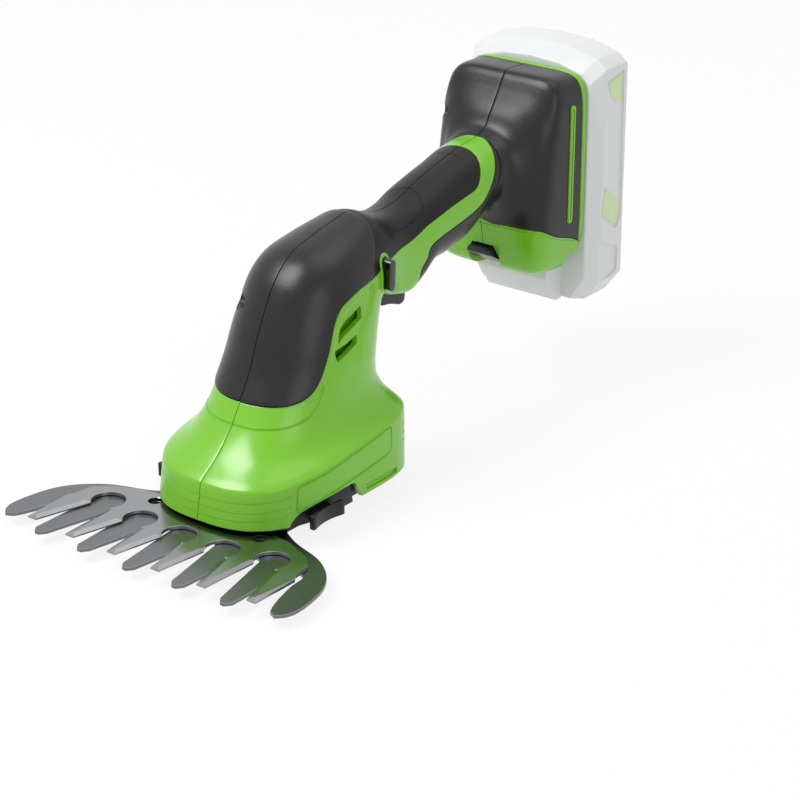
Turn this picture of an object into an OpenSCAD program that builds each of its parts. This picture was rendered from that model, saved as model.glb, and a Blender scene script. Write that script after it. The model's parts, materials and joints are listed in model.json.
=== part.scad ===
// Cordless grass shears: a moulded clamshell body with a geared head, a two-blade comb cutter,
// a trigger grip and a slim slide-on battery pack.
// Frame: X across (right is +X), -Y towards the teeth, +Z up, origin under the head on the floor.

/* [Housing] */
// Distance from the origin back to the battery plane
reach = 180; // [170:1:190]
// Height that the body's side profile is drawn to
body_h = 150; // [142:1:158]
// Width of the head across its skirt
head_w = 78; // [74:1:84]
// Wall of the moulded shells
wall = 2.6; // [2:0.1:3]
// Height of the finger-high notch in each side of the skirt
notch_h = 17; // [16:0.5:20]
// Width of each side accent bar on the dock
accent_w = 3.6; // [2.5:0.1:5]

/* [Cutter] */
// Width of the lower blade across its hooks
blade_w = 152; // [140:1:164]
// Distance from the origin forward to the lower tooth tips
blade_reach = 90; // [85:1:98]
// Thickness of each blade
blade_t = 1.4; // [1.2:0.1:2]
// Thickness of the cutter's mount plate
plate_t = 4.6; // [3.6:0.1:5.4]
// Radius of the round gullets in the upper blade
gullet_r = 7.3; // [6:0.1:7.6]
// Radius of the two sight holes in the upper blade
sight_r = 3; // [2:0.1:4]

/* [Drive] */
// Throw of the crank, half the stroke of the upper blade
crank_r = 9; // [7:0.5:9]
// Radius of the crank pin
crank_pin_r = 3; // [2.5:0.1:3.4]
// Gear module
gear_m = 0.9; // [0.8:0.05:0.95]
// Teeth on the drive gear
gear_teeth = 40; // [36:1:41]
// Teeth on the motor pinion
pinion_teeth = 10; // [9:1:12]
// Thickness of the gear teeth
gear_t = 5; // [4:0.5:6]
// Radius of the gear axle
axle_r = 3; // [2.5:0.1:3.5]
// Radius of the motor can
motor_r = 14; // [12:0.5:15]
// Radius of the motor shaft
shaft_r = 1.6; // [1.2:0.1:2]

/* [Controls] */
// Width of the trigger
trigger_w = 13; // [10:0.5:15]
// Radius of the trigger pin
pin_r = 2; // [1.5:0.1:2.4]
// Radius of the latch pin
latch_pin_r = 1.4; // [1:0.1:1.6]
// Width of the lock-off bar seen from the side
lock_w = 4; // [3:0.5:5]
// Width of each release button along the head
button_w = 17; // [13:1:20]
// Height of each release button
button_h = 5; // [4:0.2:6]
// Width of the battery latch
latch_w = 16; // [12:1:20]

/* [Battery] */
// Width of the battery pack
pack_w = 72; // [70:1:78]
// Height of the battery pack
pack_h = 119.8; // [116:0.2:126]
// Thickness of the battery pack behind the dock
pack_t = 26; // [24:0.5:30]
// Height of the pack's lowest edge above the floor
pack_z = 38; // [36:0.2:42]
// Wall of the battery case
pack_wall = 2.2; // [1.8:0.1:2.2]
// Radius of one cell
cell_r = 9.1; // [8.5:0.1:9.2]
// Length of one cell
cell_l = 65; // [60:1:65]
// Number of cells in the pack
cell_count = 5; // [3:1:5]

/* [Fits] */
// Gap between parts that move past each other
clear = 0.4; // [0.3:0.05:0.5]
// Radial clearance of a running shaft
run_fit = 0.05; // [0.02:0.01:0.1]
// Gap between the stacked blades
blade_gap = 0.3; // [0.3:0.05:0.4]

/* [Hidden] */
$fn = 48;

green = [0.42, 0.78, 0.16];
charcoal = [0.22, 0.22, 0.23];
steel = [0.62, 0.63, 0.65];
dark_steel = [0.42, 0.43, 0.45];
brass = [0.78, 0.64, 0.32];
pale = [0.86, 0.87, 0.88];

// One named overrun serves every cut.
over = 1;
half_w = head_w / 2;

// Side profile of the whole body, ring by ring from the skirt's foot to the dock's mouth.
// Each row: outer point (y, z), inner point (y, z), half width, fullness outside and inside.
// y is a share of reach, z of body_h, and the width of half the head.
ring_shares = [
    [-0.261, 0.070, 0.300, 0.070, 1.000, 2.8, 4.4],
    [-0.247, 0.167, 0.300, 0.247, 0.990, 2.8, 4.4],
    [-0.234, 0.181, 0.291, 0.261, 0.935, 2.8, 4.4],
    [-0.186, 0.224, 0.281, 0.290, 0.805, 2.6, 3.6],
    [-0.142, 0.281, 0.279, 0.327, 0.742, 2.5, 2.8],
    [-0.113, 0.333, 0.282, 0.367, 0.724, 2.4, 2.5],
    [-0.068, 0.420, 0.285, 0.413, 0.716, 2.35, 2.4],
    [-0.042, 0.498, 0.292, 0.457, 0.698, 2.3, 2.4],
    [-0.012, 0.573, 0.300, 0.487, 0.674, 2.3, 2.4],
    [0.025, 0.647, 0.310, 0.507, 0.642, 2.4, 2.4],
    [0.078, 0.700, 0.319, 0.513, 0.608, 2.4, 2.4],
    [0.156, 0.727, 0.331, 0.513, 0.569, 2.35, 2.4],
    [0.233, 0.745, 0.342, 0.507, 0.527, 2.3, 2.6],
    [0.297, 0.755, 0.353, 0.497, 0.490, 2.2, 2.8],
    [0.356, 0.730, 0.375, 0.492, 0.451, 2.2, 4.6],
    [0.411, 0.720, 0.417, 0.488, 0.436, 2.2, 6.0],
    [0.472, 0.730, 0.458, 0.503, 0.433, 2.2, 4.6],
    [0.523, 0.752, 0.514, 0.528, 0.438, 2.2, 2.8],
    [0.589, 0.775, 0.578, 0.530, 0.446, 2.2, 2.3],
    [0.661, 0.795, 0.642, 0.547, 0.451, 2.2, 2.3],
    [0.722, 0.811, 0.678, 0.573, 0.451, 2.3, 2.3],
    [0.783, 0.821, 0.711, 0.609, 0.446, 2.3, 2.3],
    [0.819, 0.838, 0.761, 0.617, 0.470, 2.4, 2.4],
    [0.842, 0.878, 0.800, 0.575, 0.580, 3.2, 3.0],
    [0.860, 0.908, 0.816, 0.512, 0.690, 4.2, 4.0],
    [0.881, 0.947, 0.822, 0.455, 0.748, 4.8, 5.0],
    [0.898, 0.977, 0.834, 0.412, 0.778, 6.0, 6.0],
    [0.930, 0.988, 0.875, 0.387, 0.790, 7.0, 7.0],
    [0.992, 0.984, 0.992, 0.380, 0.797, 8.0, 8.0]
];
// Rows where one moulding ends and the next begins
ridge_row = 2;
neck_row = 4;
hood_boss_rows = [7, 9];
hood_end_row = 13;
waist_row = 14;
housing_row = 15;
collar_row = 21;
mouth_row = len(ring_shares) - 1;

// Seams between the mouldings in the side view, as shares of reach and body_h
hood_edge_shares = [
    [-0.113, 0.345], [-0.066, 0.351], [-0.025, 0.368], [0.005, 0.400], [0.031, 0.451],
    [0.050, 0.500], [0.067, 0.543], [0.090, 0.578], [0.117, 0.595], [0.160, 0.610], [0.216, 0.618]
];
hood_seam_shares = [[0.216, 0.618], [0.236, 0.663], [0.264, 0.705], [0.282, 0.738], [0.286, 0.775]];
grip_edge_shares = [
    [0.216, 0.618], [0.240, 0.628], [0.255, 0.655], [0.275, 0.674], [0.293, 0.666], [0.308, 0.646],
    [0.354, 0.645], [0.401, 0.649], [0.443, 0.659], [0.482, 0.674], [0.556, 0.696], [0.635, 0.715],
    [0.662, 0.723], [0.679, 0.739], [0.702, 0.776], [0.719, 0.810]
];
band_edge_shares = [
    [0.437, 0.460], [0.439, 0.535], [0.448, 0.558], [0.467, 0.580], [0.475, 0.601], [0.495, 0.617],
    [0.551, 0.633], [0.629, 0.653], [0.669, 0.668], [0.694, 0.686], [0.726, 0.729], [0.751, 0.773],
    [0.773, 0.807], [0.789, 0.823]
];
skirt_edge_shares = [[0.778, 0.581], [1.100, 0.413]];
trigger_shares = [
    [0.317, 0.560], [0.317, 0.520], [0.356, 0.470], [0.367, 0.452], [0.394, 0.449],
    [0.419, 0.440], [0.436, 0.431], [0.453, 0.435], [0.458, 0.450], [0.458, 0.560]
];
latch_shares = [
    [0.801, 0.473], [0.833, 0.477], [0.875, 0.433], [0.894, 0.407], [0.886, 0.393], [0.853, 0.412],
    [0.806, 0.451]
];
vent_shares = [
    [[0.077, 0.497], [0.090, 0.517], [0.106, 0.533], [0.166, 0.558], [0.168, 0.534], [0.121, 0.517]],
    [[0.073, 0.434], [0.074, 0.456], [0.110, 0.464], [0.153, 0.478], [0.152, 0.460], [0.111, 0.446]]
];
// How far past the profile the cutting regions reach
region_top_share = 1.2;
region_front_share = -0.5;

ring_steps = 2;
arc_steps = 10;

// Curves and rings

function sign_of(v) = v < 0 ? -1 : 1;
function power_of(v, n) = sign_of(v) * pow(abs(v), 2 / n);
function blend4(a, b, c, d, t) =
    (2 * b + (c - a) * t + (2 * a - 5 * b + 4 * c - d) * t * t + (3 * b - a - 3 * c + d) * t * t * t) / 2;
function smooth(rows, steps) = concat(
    [for (i = [0 : len(rows) - 2]) for (s = [0 : steps - 1])
        blend4(rows[max(i - 1, 0)], rows[i], rows[i + 1], rows[min(i + 2, len(rows) - 1)], s / steps)],
    [rows[len(rows) - 1]]
);
function rows_between(first, last) = [for (i = [first : last]) ring_shares[i]];
// The skirt keeps its sharp ridge, and the rest runs as one smooth spline.
function all_rings(steps) = concat(
    rows_between(0, ridge_row - 1),
    smooth(rows_between(ridge_row, mouth_row), steps)
);
rings = all_rings(ring_steps);
function ring_index(row) = row < ridge_row ? row : ridge_row + (row - ridge_row) * ring_steps;

function outer_at(r) = [reach * r[0], body_h * r[1]];
function inner_at(r) = [reach * r[2], body_h * r[3]];
// A point of a ring at an angle from its outer point, drawn in by an inset
function ring_point(r, angle, inset) =
    let (
        mid = (outer_at(r) + inner_at(r)) / 2,
        span = (outer_at(r) - inner_at(r)) / 2,
        tall = norm(span),
        full = cos(angle) >= 0 ? r[5] : r[6],
        up = power_of(cos(angle), full) * (tall - inset),
        out = pow(abs(sin(angle)), 2 / full) * (half_w * r[4] - inset)
    )
    [out, mid[0] + span[0] / tall * up, mid[1] + span[1] / tall * up];
function half_ring(r, inset) = [for (j = [0 : arc_steps]) ring_point(r, 180 * j / arc_steps, inset)];
function reversed(list) = [for (i = [len(list) - 1 : -1 : 0]) list[i]];
function joined(lists) = [for (l = lists) for (p = l) p];
function side_faces(count, n) = [for (i = [0 : count - 2]) for (j = [0 : n - 1])
    let (a = i * n + j, b = i * n + (j + 1) % n, c = a + n, d = b + n)
    for (f = [[a, b, d], [a, d, c]]) f];
function turned(faces) = [for (f = faces) [f[0], f[2], f[1]]];
function strip_cap(base, n, flip) = [for (j = [0 : n / 2 - 2])
    let (a = base + j, b = base + j + 1, c = base + n - 2 - j, d = base + n - 1 - j)
    for (f = flip ? [[a, c, b], [a, d, c]] : [[a, b, c], [a, c, d]]) f];

// Half of a moulded shell between two rows: a wall swept along the rings, closed on the parting plane
module shell_half(first, last) {
    stations = [for (i = [ring_index(first) : ring_index(last)]) rings[i]];
    n = 2 * (arc_steps + 1);
    points = joined([for (r = stations) concat(half_ring(r, 0), reversed(half_ring(r, wall)))]);
    polyhedron(
        points,
        concat(
            turned(side_faces(len(stations), n)),
            strip_cap(0, n, false),
            strip_cap((len(stations) - 1) * n, n, true)
        )
    );
}

// Solid half of the body's inside between two rows, for trimming bosses to the wall
module core_half(first, last) {
    stations = [for (i = [ring_index(first) : ring_index(last)]) rings[i]];
    n = 2 * (arc_steps + 1);
    points = joined([for (r = stations)
        concat(half_ring(r, wall / 2), reversed(half_ring(r, half_w * r[4])))]);
    polyhedron(
        points,
        concat(
            turned(side_faces(len(stations), n)),
            strip_cap(0, n, false),
            strip_cap((len(stations) - 1) * n, n, true)
        )
    );
}

module mirrored(side) {
    if (side == "left") mirror([1, 0, 0]) children();
    else children();
}

// A side-view outline carried across the body
function side_points(shares) = [for (p = shares) [reach * p[0], body_h * p[1]]];
module across(points, x0, x1) {
    translate([x0, 0, 0]) rotate([90, 0, 90]) linear_extrude(x1 - x0) polygon(points);
}
module region(shares) {
    across(side_points(shares), -half_w - over, half_w + over);
}
// A round bar across the body between two x places
module cross_bar(y, z, r, x0, x1) {
    translate([x0, y, z]) rotate([0, 90, 0]) cylinder(r = r, h = x1 - x0);
}
module box(low, high) {
    translate(low) cube(high - low);
}
// A bar or slot with round ends between two points of the side view
pill_steps = 12;
function pill_points(a, b, r) =
    let (turn = atan2(b[1] - a[1], b[0] - a[0]))
    concat(
        arc_points(b, r, turn - 90, turn + 90, pill_steps),
        arc_points(a, r, turn + 90, turn + 270, pill_steps)
    );
module side_pill(a, b, w, x0, x1) {
    across(pill_points(a, b, w / 2), x0, x1);
}

// Cutting regions

hood_line = smooth(hood_edge_shares, ring_steps);
seam_line = smooth(hood_seam_shares, ring_steps);
grip_line = smooth(grip_edge_shares, ring_steps);
band_line = smooth(band_edge_shares, ring_steps);
seam_top = hood_seam_shares[len(hood_seam_shares) - 1];
ring_top = grip_edge_shares[len(grip_edge_shares) - 1];
band_foot = band_edge_shares[0];
band_top = band_edge_shares[len(band_edge_shares) - 1];

module hood_region() {
    region(concat(
        [[region_front_share, hood_edge_shares[0][1]]],
        hood_line,
        [for (i = [1 : len(seam_line) - 1]) seam_line[i]],
        [[seam_top[0], region_top_share], [region_front_share, region_top_share]]
    ));
}
module grip_region() {
    region(concat(
        grip_line,
        [[ring_top[0], region_top_share], [seam_top[0], region_top_share]],
        [for (i = [len(seam_line) - 1 : -1 : 1]) seam_line[i]]
    ));
}
module under_region() {
    region(concat(
        [[band_foot[0], 0]],
        band_line,
        [[band_top[0], region_top_share], [region_top_share, region_top_share], [region_top_share, 0]]
    ));
}
module skirt_region() {
    region(concat(skirt_edge_shares, [[skirt_edge_shares[1][0], 0], [skirt_edge_shares[0][0], 0]]));
}

// Heights of the stack under the head
lower_z = plate_t;
upper_z = lower_z + blade_t + blade_gap;
yoke_z = upper_z + blade_t;
yoke_t = 2.7;
cover_z = yoke_z + yoke_t + clear;
cover_t = 3.3;
cover_top = cover_z + cover_t;
gear_z = cover_top + crank_pin_r;
hub_share = 2;
hub_r = axle_r * hub_share;
frame_z = gear_z + gear_t + hub_r;
frame_t = 3;
frame_top = frame_z + frame_t;

// Plan places of the drive, as shares of reach
gear_y_share = -0.044;
gear_y = reach * gear_y_share;
motor_l_share = 0.2667;
motor_l = body_h * motor_l_share;
centre_distance = gear_m * (gear_teeth + pinion_teeth) / 2;
motor_y = gear_y + centre_distance;

// Places of the controls and the pins, as shares of reach and body_h
trigger_pivot_shares = [0.336, 0.537];
latch_pivot_shares = [0.864, 0.425];
lock_low_shares = [0.273, 0.577];
lock_high_shares = [0.275, 0.640];
function side_place(s) = [reach * s[0], body_h * s[1]];
trigger_pivot = side_place(trigger_pivot_shares);
latch_pivot = side_place(latch_pivot_shares);
lock_low = side_place(lock_low_shares);
lock_high = side_place(lock_high_shares);
boss_wall = 2;
boss_r = pin_r + boss_wall;
trigger_gap = trigger_w / 2 + clear;

// Housing screws: places in the side view, each on a boss of the moulding named beside it
hood_screw_shares = [0.035, 0.560];
head_screw_shares = [0.256, 0.167];
dock_screw_shares = [0.867, 0.840];
screw_r = 1.6;
screw_head_r = 3;
screw_head_t = 2.2;
screw_drive_share = 0.7;
screw_drive_r = screw_r * screw_drive_share;
screw_boss_r = 4.4;
screw_grip = 9;
screw_bite = 10;
screw_places = [side_place(hood_screw_shares), side_place(head_screw_shares), side_place(dock_screw_shares)];

// A screw boss on the parting plane, grown out to the wall, with its hole and its recess
module screw_boss(place, first, last) {
    intersection() {
        core_half(first, last);
        cross_bar(place[0], place[1], screw_boss_r, 0, half_w);
    }
}
module screw_hole(place, side) {
    cross_bar(place[0], place[1], screw_r, -over, side == "left" ? half_w : screw_bite);
    if (side == "left") cross_bar(place[0], place[1], screw_head_r + clear, screw_grip, half_w + over);
}

// Notch in the skirt that bares the release button
notch_shares = [[-0.198, 0], [-0.178, 1], [0.030, 1], [0.050, 0]];
notch_in_share = 0.6;
notch_inner = half_w * notch_in_share;
module skirt_notch() {
    points = [for (p = notch_shares) [reach * p[0], notch_h * p[1]]];
    across(points, notch_inner, half_w + over);
}

// Slanted cooling vents in the neck
module vents() {
    for (v = vent_shares) across(side_points(v), 0, half_w);
}

module body_shell(side) {
    color(green) mirrored(side) difference() {
        union() {
            difference() {
                shell_half(0, collar_row);
                hood_region();
                grip_region();
                under_region();
            }
            screw_boss(screw_places[1], 0, ridge_row - 1);
            intersection() {
                core_half(waist_row - 1, housing_row);
                cross_bar(trigger_pivot[0], trigger_pivot[1], boss_r, trigger_gap, half_w);
            }
        }
        screw_hole(screw_places[1], side);
        skirt_notch();
        vents();
        cross_bar(trigger_pivot[0], trigger_pivot[1], pin_r, -over, trigger_gap + boss_r);
        side_pill(lock_low, lock_high, lock_w + 2 * clear, wall, half_w);
        trigger_slot();
    }
}
// The mouth in the handle's underside that the trigger comes out of
trigger_slot_shares = [[0.311, 0.472], [0.400, 0.535]];
module trigger_slot() {
    low = side_place([trigger_slot_shares[0][0], trigger_slot_shares[1][0]]);
    high = side_place([trigger_slot_shares[0][1], trigger_slot_shares[1][1]]);
    box([-over, low[0], low[1]], [trigger_gap, high[0], high[1]]);
}

module hood(side) {
    color(charcoal) mirrored(side) difference() {
        union() {
            intersection() {
                shell_half(neck_row, hood_end_row);
                hood_region();
            }
            intersection() {
                screw_boss(screw_places[0], hood_boss_rows[0], hood_boss_rows[1]);
                hood_region();
            }
        }
        screw_hole(screw_places[0], side);
    }
}

module grip(side) {
    color(charcoal) mirrored(side) intersection() {
        shell_half(hood_end_row - 3, collar_row);
        grip_region();
    }
}

module under_grip(side) {
    color(charcoal) mirrored(side) difference() {
        intersection() {
            shell_half(waist_row, collar_row);
            under_region();
        }
        trigger_slot();
    }
}

module dock_shell(side) {
    color(charcoal) mirrored(side) difference() {
        union() {
            difference() {
                shell_half(collar_row, mouth_row);
                skirt_region();
            }
            screw_boss(screw_places[2], mouth_row - 4, mouth_row - 1);
        }
        screw_hole(screw_places[2], side);
        accent_slot(0);
    }
}
accent_low_shares = [0.947, 0.553];
accent_high_shares = [0.950, 0.893];
accent_depth = 3.5;
accent_stand = 0.5;
dock_half = half_w * ring_shares[mouth_row][4];
tongue_share = 0.6354;
tongue_w = 2 * dock_half * tongue_share;
module accent_slot(stand) {
    side_pill(
        side_place(accent_low_shares), side_place(accent_high_shares), accent_w,
        dock_half - accent_depth, stand > 0 ? dock_half + stand : half_w
    );
}
module side_accents() {
    color(green) for (side = ["left", "right"]) mirrored(side) accent_slot(accent_stand);
}

// The green apron under the dock, open below for the pack's tongue
apron_cut_shares = [0.906, 1.100];
apron_step_shares = [0.950, 0.440];
cheek_t = 2.4;
module dock_skirt(side) {
    slot = latch_w / 2 + clear;
    step = side_place(apron_step_shares);
    color(green) mirrored(side) difference() {
        union() {
            intersection() {
                shell_half(collar_row + 1, mouth_row);
                skirt_region();
            }
            intersection() {
                core_half(mouth_row - 3, mouth_row);
                translate([slot, 0, 0]) box(
                    [0, latch_pivot[0] - boss_r, 0],
                    [cheek_t, latch_pivot[0] + boss_r, latch_pivot[1] + boss_r]
                );
            }
        }
        box([-over, 0, 0], [slot, reach, body_h * latch_shares[1][1] + clear]);
        box(
            [-over, reach * apron_cut_shares[0], 0],
            [tongue_w / 2 + 2 * clear, reach * apron_cut_shares[1], body_h]
        );
        box([-over, step[0], 0], [half_w, reach + over, step[1]]);
        cross_bar(latch_pivot[0], latch_pivot[1], latch_pin_r, -over, slot + cheek_t + over);
    }
}

// Green frame round the dock's mouth
rim_t = 3.4;
rim_edge = 0.6;
rim_foot_share = 0.430;
rim_full = 8;
function oval(half_x, half_z, full, count) =
    [for (i = [0 : count - 1]) let (a = 360 * i / count)
        [half_x * power_of(cos(a), full), half_z * power_of(sin(a), full)]];
rim_points = 64;
module dock_rim() {
    top = body_h * ring_shares[mouth_row][1] + rim_edge;
    foot = body_h * rim_foot_share;
    mid = (top + foot) / 2;
    tall = (top - foot) / 2;
    wide = dock_half + rim_edge;
    color(green) translate([0, reach * ring_shares[mouth_row][0] + rim_t, mid]) rotate([90, 0, 0])
        difference() {
            linear_extrude(rim_t) polygon(oval(wide, tall, rim_full, rim_points));
            translate([0, 0, -over]) linear_extrude(rim_t + 2 * over)
                polygon(oval(wide - wall - rim_edge, tall - wall - rim_edge, rim_full, rim_points));
            translate([-tongue_w / 2 - 2 * clear, -tall - over, -over])
                cube([tongue_w + 4 * clear, tall, rim_t + 2 * over]);
        }
}

module housing_screws() {
    color(steel) for (p = screw_places) {
        cross_bar(p[0], p[1], screw_r, -screw_grip, screw_bite);
        difference() {
            cross_bar(p[0], p[1], screw_head_r, -screw_grip - screw_head_t, -screw_grip);
            cross_bar(
                p[0], p[1], screw_drive_r,
                -screw_grip - screw_head_t - over, -screw_grip - screw_head_t / 2
            );
        }
    }
}

// Head: cover, gear frame and drive

cover_fit = 1.2;
foot_row = ring_shares[0];
function plan_half(inset) = [for (p = half_ring(foot_row, inset)) [p[0], p[1]]];
function plan_outline(inset) = concat(
    plan_half(inset),
    [for (i = [arc_steps - 1 : -1 : 1]) [-plan_half(inset)[i][0], plan_half(inset)[i][1]]]
);
pad_in_share = 0.70;
pad_in = half_w * pad_in_share;
pad_depth = 1.8;
pad_out = half_w - pad_depth;
pad_z = yoke_z + clear;
function notch_side(end, z) = reach * (notch_shares[end][0]
    + (notch_shares[end + 1][0] - notch_shares[end][0])
    * (notch_shares[end][1] == 0 ? z / notch_h : 1 - z / notch_h));
pad_top = notch_h - clear;
pad_points = [
    [notch_side(0, pad_z) + clear, pad_z], [notch_side(0, pad_top) + clear, pad_top],
    [notch_side(2, pad_top) - clear, pad_top], [notch_side(2, pad_z) - clear, pad_z]
];
pocket_in_share = 0.66;
pocket_in = half_w * pocket_in_share;
button_y_share = -0.077;
button_y = reach * button_y_share;
button_stand = 4.9;
button_press = 2.6;
button_z = upper_z + (cover_fit + button_h) / 2 - clear;
button_in = pad_out + clear;
button_out = pad_out + button_stand;
stem_shares = [0.6, 0.8];
stem_w = button_w * stem_shares[0];
stem_h = button_h * stem_shares[1];
stem_z = button_z + (button_h - stem_h) / 2;
post_x_share = 0.526;
post_x = half_w * post_x_share;
post_y_shares = [0.333, 1.6];
post_ys = [gear_y - gear_m * gear_teeth * post_y_shares[0], motor_y + motor_r * post_y_shares[1]];
post_r = 3.5;

module base_cover() {
    color(charcoal) difference() {
        union() {
            translate([0, 0, cover_z]) linear_extrude(cover_t) polygon(plan_outline(wall + cover_fit));
            intersection() {
                linear_extrude(notch_h) polygon(plan_outline(pad_depth));
                for (side = ["left", "right"]) mirrored(side) across(pad_points, pad_in, half_w);
            }
        }
        translate([0, gear_y, cover_z - over])
            cylinder(r = crank_r + crank_pin_r + 2 * clear, h = cover_t + 2 * over);
        for (side = ["left", "right"]) mirrored(side)
            box(
                [pocket_in, button_y - stem_w / 2 - clear, stem_z - clear],
                [half_w, button_y + stem_w / 2 + clear, stem_z + stem_h + clear]
            );
        for (x = [-post_x, post_x]) for (y = post_ys)
            translate([x, y, cover_z - over]) cylinder(r = screw_r, h = cover_t + 2 * over);
    }
}

shaft_window_share = 2;
shaft_window_r = shaft_r * shaft_window_share;
frame_x_share = 0.6;
frame_x = half_w * frame_x_share;
module gear_frame() {
    color(dark_steel) difference() {
        union() {
            box([-frame_x, post_ys[0] - post_r, frame_z], [frame_x, post_ys[1] + post_r, frame_top]);
            for (x = [-post_x, post_x]) for (y = post_ys)
                translate([x, y, cover_top]) cylinder(r = post_r, h = frame_z - cover_top);
        }
        translate([0, gear_y, frame_z - over]) cylinder(r = axle_r, h = frame_t + 2 * over);
        translate([0, motor_y, frame_z - over]) cylinder(r = shaft_window_r, h = frame_t + 2 * over);
        for (x = [-post_x, post_x]) for (y = post_ys)
            translate([x, y, cover_top - over]) cylinder(r = screw_r, h = screw_bite + over);
    }
}
module frame_screws() {
    color(steel) for (x = [-post_x, post_x]) for (y = post_ys) translate([x, y, 0]) {
        translate([0, 0, cover_z]) cylinder(r = screw_r, h = cover_t + screw_bite);
        translate([0, 0, cover_z - screw_head_t / 2]) cylinder(r = screw_head_r, h = screw_head_t / 2);
    }
}

// Involute gear outline
pressure = 20;
backlash = 0.12;
tip_share = 0.85;
root_share = 1.15;
function involute(base, r) = r <= base ? 0 : sqrt(r * r / (base * base) - 1) * 180 / PI - acos(base / r);
function gear_outline(teeth) =
    let (
        pitch = gear_m * teeth / 2,
        base = pitch * cos(pressure),
        tip = pitch + gear_m * tip_share,
        root = pitch - gear_m * root_share,
        half = 90 / teeth - backlash / pitch * 90 / PI + involute(base, pitch),
        radii = [root, max(base, root), pitch, (pitch + tip) / 2, tip]
    )
    [for (i = [0 : teeth - 1]) for (k = [0 : 2 * len(radii) - 1])
        let (
            j = k < len(radii) ? k : 2 * len(radii) - 1 - k,
            s = k < len(radii) ? -1 : 1,
            a = 360 * i / teeth + s * (half - involute(base, radii[j]))
        )
        radii[j] * [cos(a), sin(a)]];

module drive_gear() {
    color(brass) translate([0, gear_y, gear_z]) difference() {
        union() {
            rotate([0, 0, 90]) linear_extrude(gear_t) polygon(gear_outline(gear_teeth));
            cylinder(r = hub_r, h = frame_z - gear_z - clear);
        }
        translate([0, 0, -over]) cylinder(r = axle_r + run_fit, h = frame_z);
        translate([0, crank_r, -over]) cylinder(r = crank_pin_r, h = gear_t + 2 * over);
    }
}
module crank_pin() {
    foot = yoke_z + clear;
    color(steel) translate([0, gear_y + crank_r, foot]) cylinder(r = crank_pin_r, h = gear_z + gear_t - foot);
}
axle_lip = 1.4;
axle_head_r = axle_r + axle_lip;
axle_head_t = 1.6;
module gear_axle() {
    color(steel) translate([0, gear_y, 0]) {
        translate([0, 0, gear_z - clear - axle_head_t]) cylinder(r = axle_head_r, h = axle_head_t);
        translate([0, 0, gear_z - clear]) cylinder(r = axle_r, h = frame_top - gear_z + clear);
    }
}
module pinion() {
    color(brass) translate([0, motor_y, gear_z]) difference() {
        rotate([0, 0, -90 + 180 / pinion_teeth])
            linear_extrude(gear_t) polygon(gear_outline(pinion_teeth));
        translate([0, 0, -over]) cylinder(r = shaft_r, h = gear_t + 2 * over);
    }
}
shaft_end_share = 0.9;
shaft_end = motor_l * shaft_end_share;
module motor_shaft() {
    color(steel) translate([0, motor_y, gear_z]) cylinder(r = shaft_r, h = frame_top + shaft_end - gear_z);
}
motor_cap_share = 0.4;
motor_cap_r = motor_r * motor_cap_share;
motor_slot_shares = [0.8, 0.75, 0.12];
motor_slot = [
    motor_r * motor_slot_shares[0], motor_l * motor_slot_shares[1], motor_l * motor_slot_shares[2]
];
motor_cap_t = 2.4;
module motor_can() {
    color(dark_steel) translate([0, motor_y, frame_top]) difference() {
        union() {
            cylinder(r = motor_r, h = motor_l);
            translate([0, 0, motor_l]) cylinder(r = motor_cap_r, h = motor_cap_t);
        }
        translate([0, 0, -over]) cylinder(r = shaft_r + run_fit, h = motor_l + over);
        for (a = [0, 180]) rotate([0, 0, a])
            translate([motor_slot[0], -motor_cap_r / 2, motor_slot[1]])
                cube([motor_r, motor_cap_r, motor_slot[2]]);
    }
}

// Cutter

half_blade = blade_w / 2;
function plan(p) = [half_blade * p[0], -blade_reach * p[1]];
function arc_points(centre, r, from, to, steps) =
    [for (i = [0 : steps]) let (a = from + (to - from) * i / steps) centre + r * [cos(a), sin(a)]];
function flipped(points) = [for (i = [len(points) - 1 : -1 : 0]) [-points[i][0], points[i][1]]];

// Lower comb: hooks at the ends and evenly spaced teeth between
lower_pitch_share = 0.3237;
lower_tip_shares = [1.000, 0.992, 0.984];
lower_tip_w = 5;
lower_tooth_w = 12.6;
lower_tip_bevel = 2.2;
lower_shoulder_share = 0.700;
lower_gullet_share = 0.622;
lower_gullet_r = 5.2;
hook_gullet_shares = [0.775, 0.611];
hook_shares = [
    [0.847, 0.711], [0.880, 0.860], [0.905, 0.912], [0.945, 0.936], [0.982, 0.910], [1.000, 0.855],
    [0.993, 0.755], [0.965, 0.643], [0.915, 0.559], [0.842, 0.490], [0.724, 0.423], [0.534, 0.368],
    [0.421, 0.317]
];
lower_rear_shares = [[0.360, 0.270], [0.316, 0.150], [0.303, -0.250]];
function lower_tooth(k) =
    let (
        x = half_blade * lower_pitch_share * k,
        tip = -blade_reach * lower_tip_shares[abs(k)],
        shoulder = -blade_reach * lower_shoulder_share
    )
    [
        [x - lower_tooth_w / 2, shoulder], [x - lower_tip_w / 2, tip + lower_tip_bevel],
        [x - lower_tip_w / 4, tip], [x + lower_tip_w / 4, tip],
        [x + lower_tip_w / 2, tip + lower_tip_bevel], [x + lower_tooth_w / 2, shoulder]
    ];
gullet_steps = 8;
function lower_gullet(k) = arc_points(
    [half_blade * lower_pitch_share * (2 * k + 1) / 2, -blade_reach * lower_gullet_share],
    lower_gullet_r, 180, 0, gullet_steps
);
lower_right = concat(
    [for (p = reversed(lower_rear_shares)) plan(p)],
    reversed([for (p = smooth(hook_shares, 2)) plan(p)]),
    arc_points(plan(hook_gullet_shares), lower_gullet_r, 0, 180, gullet_steps)
);
function lower_front() = joined([for (k = [2 : -1 : -2])
    concat(reversed(lower_tooth(k)), k > -2 ? reversed(lower_gullet(k - 1)) : [])]);
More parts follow.
